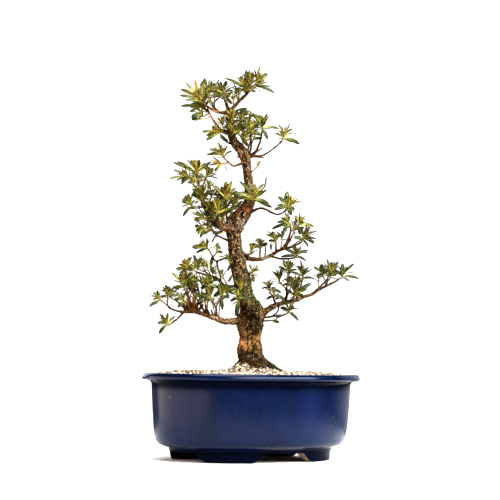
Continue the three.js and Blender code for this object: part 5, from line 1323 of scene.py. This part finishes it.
def bark():
    """Dark fissured bark with grey-tan flakes, redder on young wood and mossy on the old trunk, with
    painted shade in its cracks, in bands and on its left side, and painted light on its right side.
    """
    paint = Paint("bark", Specular_IOR_Level=0.05)
    girth, relief = paint.value("girth"), paint.value("relief")
    height = paint.height()
    grain = paint.scaled((1, 1, 0.62))
    plates = paint.noise(2.8, 6, 0.74, grain)
    old = paint.ramp(
        plates,
        (0.37, (0.006, 0.003, 0.001)),
        (0.45, (0.038, 0.020, 0.005)),
        (0.53, (0.14, 0.080, 0.022)),
        (0.61, (0.31, 0.24, 0.145)),
        (0.72, (0.58, 0.52, 0.42)),
    )
    young = paint.ramp(
        paint.noise(2.4, 5, 0.65),
        (0.36, (0.018, 0.008, 0.003)),
        (0.5, (0.052, 0.026, 0.012)),
        (0.68, (0.23, 0.15, 0.085)),
    )
    for spot, reach in TAN_TWIGS:
        young = paint.patch(young, (0.48, 0.24, 0.115), place(spot), reach, 0.6 * reach, 0.75)
    color = paint.mix(paint.between(girth, 3.6, 1.6), old, young)
    thick = paint.between(girth, 2, 5)
    # the lower trunk is worn to warm brown wood, and old wood has rusty places
    worn = paint.between(paint.noise(11), 0.42, 0.58)
    color = paint.over(color, (0.34, 0.18, 0.06), paint.between(height, 172, 162), worn, 0.45)
    color = paint.over(color, (0.28, 0.12, 0.05), paint.between(paint.noise(13), 0.54, 0.64), thick, 0.4)
    # darker and lighter in bands up the trunk: darker just above the soil, painted shade below the low
    # branches, and bands higher up
    moved = paint.plus(height, paint.clouds(6, -9, 9, 4, 0.6))
    bands = [(at / BAND_SCALE, (level,) * 3) for at, level in BARK_BANDS]
    tone = paint.ramp(paint.math("DIVIDE", moved, BAND_SCALE), *bands)
    upper = paint.times(paint.between(girth, 3.5, 5), paint.between(height, 310, 330))
    stout = paint.math("MAXIMUM", paint.between(girth, 5, 7), paint.between(height, 152, 144))
    color = paint.mix(paint.math("MAXIMUM", stout, upper), color, paint.tinted(color, tone))
    ragged = paint.clouds(3, -5, 5, 4)
    for spot, reach, share, bare in BARE_PATCHES:
        color = paint.patch(color, bare, place(spot), reach, reach - PATCH_SOFT, share, ragged)
    # pale flakes, each a small cell of its own
    cell = paint.add("SeparateColor", {0: paint.cells(1.6, "Color", grain)}).outputs[0]
    island = paint.between(paint.cells(1.6, spot=grain), 0.50, 0.34)
    above = paint.between(height, 186, 208, 0.16, 0.65)
    color = paint.over(color, (0.58, 0.50, 0.36), paint.between(cell, 0.66, 0.70), island, thick, above)
    color = paint.over(color, (0.52, 0.44, 0.30), paint.between(relief, 0.9, 1.4), 0.6, above)
    # painted shade: the sunk cracks of the bark are darkened nearly to black
    color = paint.over(color, (0.010, 0.006, 0.004), paint.between(relief, -0.1, -0.9), 0.85)
    # painted light and shade by the way the bark faces: the right side paler and greyer, partly with
    # lichen, and the left side darker red-brown
    normal = paint.add("TexCoord", {}).outputs["Normal"]
    aside = paint.math("MULTIPLY_ADD", paint.vector_math("DOT_PRODUCT", normal, RIGHT), 0.5, 0.5)
    sides = paint.ramp(aside, (0.2, (0.72, 0.60, 0.46)), (0.5, (0.88, 0.84, 0.80)), (0.85, (1, 1, 1)))
    color = paint.mix(paint.between(height, 160, 190), color, paint.tinted(color, sides))
    lichen_and_lit_side = paint.times(paint.between(aside, 0.6, 0.9), paint.between(plates, 0.4, 0.6), thick, above)
    color = paint.over(color, (0.23, 0.205, 0.155), lichen_and_lit_side, 0.8)
    begin, full, thin, end = MOSS_BELT
    belt = paint.times(paint.between(height, begin, full), paint.between(height, end, thin))
    tufts = paint.times(belt, paint.between(paint.noise(6, 5, 0.7), 0.42, 0.55))
    spots = paint.times(paint.between(paint.noise(8, 5, 0.7), 0.60, 0.68), 0.6)
    color = paint.over(color, (0.10, 0.090, 0.016), paint.math("MAXIMUM", tufts, spots), thick, 0.65)
    fine = paint.bump(paint.noise(0.8, 5, 0.65, grain), 0.5, 0.8)
    coarse = paint.bump(plates, 1.4, 0.8, fine)
    rough = paint.between(plates, 0.3, 0.7, 0.75, 0.95)
    return paint.finish(Base_Color=color, Roughness=rough, Normal=coarse)


def moss():
    paint = Paint("moss", Sheen_Weight=0.3, Sheen_Roughness=0.5)
    tint = paint.plus(paint.value("tint"), paint.clouds(1, -0.2, 0.2))
    stops = [(0.1, (0.026, 0.028, 0.006)), (0.55, (0.12, 0.115, 0.022)), (0.95, (0.28, 0.25, 0.06))]
    color = paint.ramp(tint, *stops)
    pile = paint.bump(paint.noise(0.3), 0.2, 0.9)
    return paint.finish(Base_Color=color, Roughness=paint.clouds(2, 0.85, 1.0), Normal=pile)


def make_wood():
    """Makes the wood, and returns a tree to find the nearest point in its middle."""
    tubes = [trunk_tube()]
    tubes += [root_tube(*root) for root in ROOTS]
    tubes += [branch_tube(line, seed) for seed, line in enumerate(OLD_BRANCHES)]
    wood = Shape("girth", "relief")
    surface = add_core(wood, tubes)
    tubes += add_twigs(wood)
    chance = np.random.RandomState(23)
    material = bark()
    stand_in("trunk_and_branches", wood.mesh("trunk_and_branches"), "bark", [material], "wood")
    flakes = Shape("girth", "relief")
    add_flakes(flakes, surface, chance)
    stand_in("bark_flakes", flakes.mesh("bark_flakes"), "bark", [material], sharp=40)
    tufts = Shape("tint")
    add_moss(tufts, surface, chance)
    stand_in("moss_tufts", tufts.mesh("moss_tufts"), "leaf", [moss()])
    return search_tree([middle for route, _, _ in tubes for middle in route])


# ---- Leafy shoots

# Moves that a leaf's tip may have been given to keep it clear, in mm to the right, away and up.
BENDS = [
    (0, 0, 0), (0, 4, 0), (0, -4, 0), (0, 8, 1), (0, -8, 1), (3, 3, 3), (-3, -3, 3), (0, 12, -2),
    (0, -12, -2),
]
TIP_MATCH = 0.02
LEAF_ROWS = [0.03, 0.12, 0.28, 0.46, 0.64, 0.81, 0.95]
LEAF_COLUMNS = [(1, 0), (0.52, -1), (0, -1), (-0.52, -1), (-1, 0), (-0.52, 1), (0, 1), (0.52, 1)]
LEAF_KINDS = [1, 1, 1, 1, 0, 0, 0, 0]
LEAF_ARCH = 0.16
LEAF_TWIST = 0.22
LEAF_FOLD = (0.22, 0.5)
LEAF_CUP = 0.28
LEAF_GROOVE = 0.06
LEAF_RIPPLE = 0.10
LEAF_HALF = 0.34  # a blade is at least this wide on each side, in mm
LEAF_THICK = (0.16, 0.14)  # at the tip, and how much more at the base
LEAF_SHARE = 0.142  # a whorl leaf's width as a share of its length
STEM, BUD = 2, 3
STEM_SIDES = 8
STEM_STEPS = 4
STEM_RADII = [0.95, 0.9, 0.8, 0.55]
SPRIG_RADII = [0.9, 0.75, 0.65, 0.45]
STALK_RADII = [0.8, 0.6, 0.5, 0.4]
STEM_SUNK = 1.2  # how far a green shoot starts inside the end of its twig, in mm
SHORT_STEM = 2.5
BUD_ROWS = 8
BUD_SIDES = 10
YOUNG_LEAVES = 7
FULL_LEAVES = 8
OLD_LEAVES = 4
FULL_REACH = 13.5  # of a full head's leaves, in squares of the elevation
SMALLEST_HEAD = 0.55
RULED_HEAD = 0.85  # a head without drawn leaves, as a share of a full one
LEAF_FULLER = 1.08  # a drawn leaf's width as a share of the solid's
# How far towards gold the heads of a spray have turned.
GOLDEN = {
    "crown_front": 0.42,
    "crown_left": 0.3,
    "crown_middle": 0.22,
    "upper_left": 0.48,
    "left_mid_end": 0.4,
    "fork_golden": 0.65,
    "fork_tall": 0.55,
    "left_low_up": 0.25,
    "left_low_inner": 0.2,
    "right_low_golden": 0.55,
    "right_low_inner": 0.22,
    "trunk_front": 0.2,
}


def leaves_of(one, lead, random):
    """The leaves that the part's own rule gives a head, drawn in the same order: base, tip, width."""
    centre = place(one["hub"])
    tips, hub = one["tips"], one["hub"]
    drawn = []
    for i, (x, y, *width) in enumerate(tips):
        seen = (place((x, y, hub[2])) - centre).length
        length = max(seen * 1.03, lerp(*LEAF_LENGTH, random()) * 0.86)
        depth = math.sqrt(length * length - seen * seen) * (0.9 if i % 2 else -0.9)
        across = width[0] if width else LEAF_WIDTH * (0.88 + 0.24 * random())
        drawn.append((place((x, y, hub[2] + depth)), across))
    axis = lead * 0.5 + UP * 0.5
    for tip, _ in drawn:
        axis += (tip - centre).normalized() * (1.2 / len(drawn))
    axis.normalize()
    depthwise = square_to(AWAY, axis)
    lateral = axis.cross(depthwise)
    ruled = not tips
    sideways = 1 if ruled else 0.45
    for i in range(one["extra"]):
        turn = GOLDEN_ANGLE * i + (0.9 if ruled else 6.28) * random()
        tilt = math.radians(30 + 55 * ((i + 0.5) / one["extra"]) if ruled else 35 + 30 * random())
        out = (depthwise * math.cos(turn) + lateral * (sideways * math.sin(turn))).normalized()
        along = axis * math.cos(tilt) + out * math.sin(tilt)
        length = lerp(*LEAF_LENGTH, random()) * (0.95 if ruled else 0.8)
        drawn.append((centre + along * length, LEAF_WIDTH * (0.8 + 0.24 * random())))
    drawn.sort(key=lambda leaf: (leaf[0] - centre).normalized().dot(axis))
    leaves = []
    for i, (tip, width) in enumerate(drawn):
        up = SHOOT_LENGTH * (0.12 + 0.66 * i / len(drawn))
        out = square_to(tip - centre, axis)
        leaves.append((centre + axis * up - out * (0.5 * SHOOT_RADIUS), tip, width))
    return leaves, axis


def settled(tips, tip):
    """A leaf's tip after the move that the part gave it, or None if the leaf was left out."""
    for right, away, rise in BENDS:
        moved = tip + RIGHT * right + AWAY * away + UP * rise
        if tips.find(moved)[2] < TIP_MATCH:
            return moved
    return None


def leaf_width(share):
    """A strap shape, widest past its middle and blunt at its tip."""
    return math.sin(math.pi * share**1.4) ** 0.52


def add_leaf(shape, base, tip, axis, width, age, chance, facing, lean, droop=0.0):
    """One blade: arched, folded along its midrib and a little cupped, with rolled-under edges. Its
    upper side looks along the shoot, leaning by a share towards another way to face."""
    length = (tip - base).length
    bend = base.lerp(tip, 0.42) + axis * (LEAF_ARCH * length) + UP * (droop * length)
    twist = chance.normal(0, LEAF_TWIST)
    fold = chance.uniform(*LEAF_FOLD)
    wave = chance.uniform(-1, 1)
    seed = chance.uniform(0, 1)
    loops, values = [[base]], [(age, 0.0, 0.0, seed)]
    for share in LEAF_ROWS:
        rest = 1 - share
        at = base * rest**2 + bend * (2 * share * rest) + tip * share**2
        along = ((bend - base) * rest + (tip - bend) * share).normalized()
        face = square_to(axis, along) * (1 - lean) + square_to(facing, along) * lean
        face = Matrix.Rotation(twist * share, 3, along) @ square_to(face, along)
        side = along.cross(face)
        half = max(0.5 * width * leaf_width(share), LEAF_HALF)
        thick = LEAF_THICK[0] + LEAF_THICK[1] * rest
        ripple = LEAF_RIPPLE * wave * math.sin(9 * share + 3 * wave)
        loop = []
        for across, front in LEAF_COLUMNS:
            reach = abs(across)
            groove = 0 if across else LEAF_GROOVE
            lift = half * (fold * reach - LEAF_CUP * reach**3 + ripple * across - groove)
            keel = 1.5 if across == 0 and front < 0 else 1
            loop.append(at + side * (across * half) + face * (lift + thick * front * keel))
        loops.append(loop)
        values.append([(age, share, abs(across), seed) for across, _ in LEAF_COLUMNS])
    loops.append([tip])
    values.append((age, 1.0, 0.0, seed))
    shape.loft(loops, values, LEAF_KINDS)


def add_bud(shape, at, axis, size, age, chance):
    """A pointed bud of overlapping scales."""
    seed = chance.uniform(0, 1)
    side = square_to(RIGHT if abs(axis.dot(RIGHT)) < 0.8 else AWAY, axis)
    across = axis.cross(side)
    loops, values = [], []
    for i in range(BUD_ROWS):
        share = i / BUD_ROWS
        radius = size * 0.24 * math.sin(math.pi * (0.16 + 0.84 * share)) ** 0.8
        middle = at + axis * (size * share)
        loop = []
        for k in range(BUD_SIDES):
            angle = TURN * k / BUD_SIDES
            reach = radius * (1 + 0.12 * math.sin(3 * angle + 2.4 * i))
            loop.append(middle + (side * math.cos(angle) + across * math.sin(angle)) * reach)
        loops.append(loop)
        values.append((age, share, 0.5 + 0.5 * math.sin(2.4 * i), seed))
    loops.append([at + axis * size])
    values.append((age, 1.0, 0.5, seed))
    shape.loft(loops, values, BUD)


def add_stem(shape, points, radii, age, seed):
    stations = [(*point, radius) for point, radius in zip(points, radii)]
    loops = tube(*smooth_route(stations, STEM_STEPS), STEM_SIDES)
    last = len(loops) - 1
    shape.loft(loops, [(age, i / last, 0.5, seed) for i in range(last + 1)], STEM)


def head_size(one):
    """How far a head's drawn leaves reach, as a share of a full head's."""
    if not one["tips"]:
        return RULED_HEAD
    reaches = [math.dist(tip[:2], one["hub"][:2]) for tip in one["tips"]]
    return min(max(sum(reaches) / len(reaches) / FULL_REACH, SMALLEST_HEAD), 1)


def add_head(shape, one, end, lead, tips, gold, random, chance):
    """A head: its stem, the part's own leaves, older leaves below, young ones above and a bud."""
    wanted, axis = leaves_of(one, lead, random)
    centre = place(one["hub"])
    start = end - lead * STEM_SUNK
    points = [start, centre, centre + axis * (0.8 * SHOOT_LENGTH), centre + axis * SHOOT_LENGTH]
    if (start - centre).length < SHORT_STEM:
        points.pop(1)
    add_stem(shape, points, STEM_RADII[-len(points):], gold, chance.uniform(0, 1))
    for base, wanted_tip, width in wanted:
        tip = settled(tips, wanted_tip)
        if tip is None:
            continue
        upright = (tip - centre).normalized().dot(axis)
        age = 0.12 + 0.22 * ease(upright, 0.3, 0.95) + 0.5 * gold * chance.uniform(0, 1)
        age += chance.normal(0, 0.06)
        facing = (RIGHT * chance.normal(0, 0.4) - AWAY + UP * 0.4).normalized()
        lean = chance.uniform(0.5, 1)
        add_leaf(shape, base, tip, axis, width * LEAF_FULLER, age, chance, facing, lean)
    add_tuft(shape, centre, axis, head_size(one), gold, chance)


def add_tuft(shape, centre, axis, size, gold, chance):
    """Whorls of older, full and young leaves up a green shoot, and the bud at its end."""
    depthwise = square_to(AWAY, axis)
    lateral = axis.cross(depthwise)
    turned = chance.uniform(0, TURN)
    # count, the stretch of the shoot, lengths, ages, and tilts from the shoot in degrees
    whorls = [
        (OLD_LEAVES, (-0.25, 0.1), (9, 15), (0.0, 0.2), (62, 100)),
        (FULL_LEAVES, (0.1, 0.7), (13.5, 20), (0.1, 0.4 + 0.5 * gold), (22, 64)),
        (YOUNG_LEAVES, (0.5, 0.98), (8, 15), (0.42 + 0.45 * gold, 0.7 + 0.6 * gold), (5, 32)),
    ]
    for count, stretch, lengths, ages, tilts in whorls:
        for i in range(count):
            turned += GOLDEN_ANGLE
            tilt = math.radians(chance.uniform(*tilts))
            out = depthwise * math.cos(turned) + lateral * math.sin(turned)
            base = centre + axis * (SHOOT_LENGTH * lerp(*stretch, (i + 0.5) / count)) + out * 0.3
            length = chance.uniform(*lengths) * size
            tip = base + (axis * math.cos(tilt) + out * math.sin(tilt)) * length
            way = chance.uniform(0, TURN)
            facing = RIGHT * math.cos(way) + AWAY * math.sin(way)
            lean = chance.uniform(0.1, 0.6)
            age = chance.uniform(*ages)
            add_leaf(shape, base, tip, axis, LEAF_SHARE * length, age, chance, facing, lean, 0.05)
    at = centre + axis * (SHOOT_LENGTH - 0.8)
    add_bud(shape, at, axis, chance.uniform(3.6, 5) * size**0.5, 0.6 + gold, chance)


def add_sprig(shape, wood, start, hub, size, gold, chance):
    """A small shoot straight from old wood."""
    start, centre = wood.find(place(start))[0], place(hub)
    axis = ((centre - start).normalized() + UP).normalized()
    middle = start.lerp(centre, 0.5) + square_to(UP, centre - start) * -0.8
    points = [start, middle, centre, centre + axis * (SHOOT_LENGTH * size)]
    add_stem(shape, points, SPRIG_RADII, 0.3, chance.uniform(0, 1))
    add_tuft(shape, centre, axis, size, gold, chance)


def add_single(shape, wood, base, tip, width, age, chance):
    """A leaf on its own, with a short stalk from the wood nearest to it."""
    base, tip = place(base), place(tip)
    start = wood.find(base)[0]
    gap = (start - base).length
    if gap > 1:
        points = [start, start.lerp(base, 0.6) - UP * (0.12 * gap), base, base.lerp(tip, 0.06)]
        add_stem(shape, points, STALK_RADII, 0.2, chance.uniform(0, 1))
    facing = (RIGHT * chance.normal(0, 0.3) - AWAY + UP * 0.3).normalized()
    add_leaf(shape, base, tip, square_to(UP, tip - base), width, age, chance, facing, 0.8)


def leaf_color(paint, stops, dim=1.0):
    """Green turning to gold with a leaf's age value, golden at its base and darkest at its tip, with
    a paler midrib and a dark margin that is partly painted shade."""
    age, along = paint.value("age"), paint.value("along")
    across, seed = paint.value("across"), paint.value("seed")
    # the low heads to the right are the darkest and greenest
    aside = paint.vector_math("DOT_PRODUCT", paint.spot, RIGHT)
    low = paint.times(paint.between(aside, 1, 8), paint.between(paint.height(), 310, 290))
    blotch = paint.math("MULTIPLY_ADD", low, -0.1, paint.clouds(4, -0.05, 0.05))
    turned = paint.plus(paint.plus(age, blotch), paint.between(along, 0, 0.9, 0.2, -0.16))
    color = paint.ramp(turned, *stops)
    light = paint.times(
        paint.between(seed, 0, 1, 0.84 * dim, 1.52 * dim),
        paint.between(along, 0.25, 0.95, 1.3, 0.36),
        paint.between(low, 0, 1, 1, 0.66),
    )
    shade = paint.add("CombineColor", {0: light, 1: light, 2: light}).outputs[0]
    color = paint.tinted(color, shade)
    color = paint.over(color, (0.28, 0.27, 0.05), paint.between(across, 0.16, 0.02), 0.35)
    # a dark margin: partly the leaf's own darker rim, partly painted shade where the edges roll under
    return paint.over(color, (0.022, 0.022, 0.006), paint.between(across, 0.6, 1.0), 0.6)


def vein_relief(paint):
    """Side veins that leave the midrib and run towards the tip."""
    run = paint.math("SUBTRACT", paint.value("along"), paint.times(paint.value("across"), 0.16))
    waves = paint.math("SINE", paint.times(run, 62))
    return paint.plus(waves, paint.times(paint.noise(0.8), 0.8))


GREENS = [
    (0.0, (0.040, 0.054, 0.016)),
    (0.15, (0.092, 0.108, 0.024)),
    (0.32, (0.20, 0.20, 0.040)),
    (0.52, (0.31, 0.265, 0.055)),
    (0.72, (0.43, 0.32, 0.065)),
    (0.88, (0.48, 0.27, 0.06)),
    (1.0, (0.50, 0.18, 0.05)),
]
PALER_SHARE = 0.6  # of each green that the underside keeps, with this added
PALER_MORE = (0.05, 0.055, 0.022)


def leaf_side(name, stops, dim, shine, rough, relief):
    """One side of the leaves. relief is the height of the veins and its strength."""
    paint = Paint(name, Specular_IOR_Level=shine, Subsurface_Weight=0.08, Subsurface_Scale=0.0015)
    veins = paint.bump(vein_relief(paint), *relief)
    color = leaf_color(paint, stops, dim)
    return paint.finish(Base_Color=color, Roughness=paint.clouds(3, *rough), Normal=veins)


def leaf_sides():
    paler = [
        (at, tuple(PALER_SHARE * level + more for level, more in zip(green, PALER_MORE)))
        for at, green in GREENS
    ]
    top = leaf_side("leaf_top", GREENS, 1.0, 0.3, (0.34, 0.5), (0.07, 0.5))
    under = leaf_side("leaf_under", paler, 0.9, 0.1, (0.5, 0.7), (0.09, 0.6))
    return top, under


def shoot_skin():
    paint = Paint("shoot_skin", Specular_IOR_Level=0.15)
    turned = paint.plus(paint.value("along"), paint.clouds(3, -0.2, 0.2))
    stops = [(0.1, (0.09, 0.045, 0.02)), (0.5, (0.20, 0.12, 0.04)), (0.9, (0.34, 0.27, 0.05))]
    color = paint.ramp(turned, *stops)
    grain = paint.bump(paint.noise(0.7), 0.12, 0.6)
    return paint.finish(Base_Color=color, Roughness=paint.clouds(2, 0.5, 0.7), Normal=grain)


def bud_scales():
    paint = Paint("bud_scales", Specular_IOR_Level=0.15)
    stops = [(0.0, (0.16, 0.12, 0.03)), (0.5, (0.26, 0.17, 0.03)), (1.0, (0.30, 0.13, 0.02))]
    color = paint.ramp(paint.value("along"), *stops)
    edge = paint.between(paint.value("across"), 0.7, 1.0)
    color = paint.over(color, (0.20, 0.085, 0.025), edge, 0.4)
    grain = paint.bump(paint.noise(0.6), 0.1, 0.6)
    return paint.finish(Base_Color=color, Roughness=paint.clouds(2, 0.45, 0.65), Normal=grain)


def make_leaves(wood):
    materials = [*leaf_sides(), shoot_skin(), bud_scales()]
    chance = np.random.RandomState(61)
    sprigs = Shape("age", "along", "across", "seed")
    for sprig in SPRIGS:
        add_sprig(sprigs, wood, *sprig, chance)
    for leaf in SINGLE_LEAVES:
        add_single(sprigs, wood, *leaf, chance)
    stand_in("small_sprigs", sprigs.mesh("small_sprigs"), "leaf", materials)
    for i, one in enumerate(SPRAYS):
        random = draws(FIRST_SEED + i)
        chance = np.random.RandomState(100 + i)
        node = f"leaves_{one['name']}"
        tips = search_tree([corner.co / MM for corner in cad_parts[node].data.vertices])
        before, end = (place(point) for point in one["twig"][-2:])
        gold = GOLDEN.get(one["name"], 0.0)
        shape = Shape("age", "along", "across", "seed")
        for each in one["heads"]:
            add_head(shape, each, end, (end - before).normalized(), tips, gold, random, chance)
        name = f"shoot_{one['name']}"
        stand_in(name, shape.mesh(name), "leaf", materials, node)


# ---- The studio and the camera

CAMERA_YAW = -0.133
CAMERA_PITCH = 3.603
CAMERA_ROLL = 0.775
CAMERA_LENS = 120.47
CAMERA_REACH = (0.05, 50)
FLOOR_HALF = 0.35
ROOM_LIGHT = 0.14
BACKDROP_LIGHT = 1.0


def make_camera():
    """At the height and distance that the front elevation is drawn from."""
    data = bpy.data.cameras.new("camera")
    data.sensor_width = 36
    data.lens = CAMERA_LENS
    data.clip_start, data.clip_end = CAMERA_REACH
    made = linked("camera", data)
    yaw, pitch, roll = (math.radians(each) for each in (CAMERA_YAW, CAMERA_PITCH, CAMERA_ROLL))
    level = AWAY * math.cos(yaw) + RIGHT * math.sin(yaw)
    ahead = level * math.cos(pitch) + UP * math.sin(pitch)
    flat = RIGHT * math.cos(yaw) - AWAY * math.sin(yaw)
    right = flat * math.cos(roll) + flat.cross(ahead) * math.sin(roll)
    turn = Matrix((right, right.cross(ahead), -ahead)).transposed().to_4x4()
    made.matrix_world = Matrix.Translation((AWAY * -EYE_DISTANCE + UP * EYE_HEIGHT) * MM) @ turn
    bpy.context.scene.camera = made


def soft_box(name, size, power, right, away, up, target=(0, 0, 0.25), color=(1, 1, 1)):
    """A soft box, placed in metres to the right of the tree's front, away from it and up."""
    data = bpy.data.lights.new(name, "AREA")
    data.shape = "RECTANGLE"
    data.size, data.size_y = size
    data.energy = power
    data.color = color
    made = linked(name, data)
    made.location = RIGHT * right + AWAY * away + UP * up
    made.rotation_mode = "QUATERNION"
    made.rotation_quaternion = (Vector(target) - made.location).to_track_quat("-Z", "Y")


def overhead(strength, spread):
    """Even light from above, which leaves the floor white as far as it is seen."""
    data = bpy.data.lights.new("sky", "SUN")
    data.energy = strength
    data.angle = math.radians(spread)
    linked("sky", data)


def pale_floor():
    paint = Paint("pale_floor", Roughness=0.9, Specular_IOR_Level=0.1)
    color = paint.ramp(paint.noise(400, 2), (0.3, (0.90,) * 3), (0.7, (0.92,) * 3))
    return paint.finish(Base_Color=color)


def make_floor():
    mesh = bpy.data.meshes.new("floor")
    corners = [(x * FLOOR_HALF, y * FLOOR_HALF, 0) for x, y in ((-1, -1), (1, -1), (1, 1), (-1, 1))]
    mesh.from_pydata(corners, [], [(0, 1, 2, 3)])
    mesh.materials.append(pale_floor())
    floor = linked("floor", mesh)


def make_room():
    """The backdrop behind the object is lit to white, and the room round it is dimmer."""
    world = bpy.data.worlds.new("studio")
    world.use_nodes = True
    tree = world.node_tree
    background = tree.nodes["Background"]
    background.inputs["Color"].default_value = (1, 1, 1, 1)
    seen = tree.nodes.new("ShaderNodeLightPath")
    level = tree.nodes.new("ShaderNodeMapRange")
    level.inputs["To Min"].default_value = ROOM_LIGHT
    level.inputs["To Max"].default_value = BACKDROP_LIGHT
    tree.links.new(seen.outputs["Is Camera Ray"], level.inputs["Value"])
    tree.links.new(level.outputs[0], background.inputs["Strength"])
    bpy.context.scene.world = world
    bpy.context.scene.view_settings.view_transform = "Standard"
    bpy.context.scene.view_settings.look = "High Contrast"


def make_lights():
    overhead(3.0, 40)
    soft_box("key", (2.0, 1.1), 48, 1.0, -1.0, 0.8)
    soft_box("strip", (4.4, 0.35), 84, 1.65, -1.55, 1.8)
    soft_box("side", (2.8, 0.8), 24, -1.1, -0.4, 0.1, (0, 0, 0.1), (1, 0.82, 0.70))
    soft_box("right", (1.4, 1.2), 3.5, 1.1, 1.2, 0.45)
    soft_box("back", (1.8, 1.0), 8, -0.5, 1.5, 0.6)


make_pot()
make_soil()
make_drains()
make_leaves(make_wood())
make_floor()
make_room()
make_lights()
make_camera()
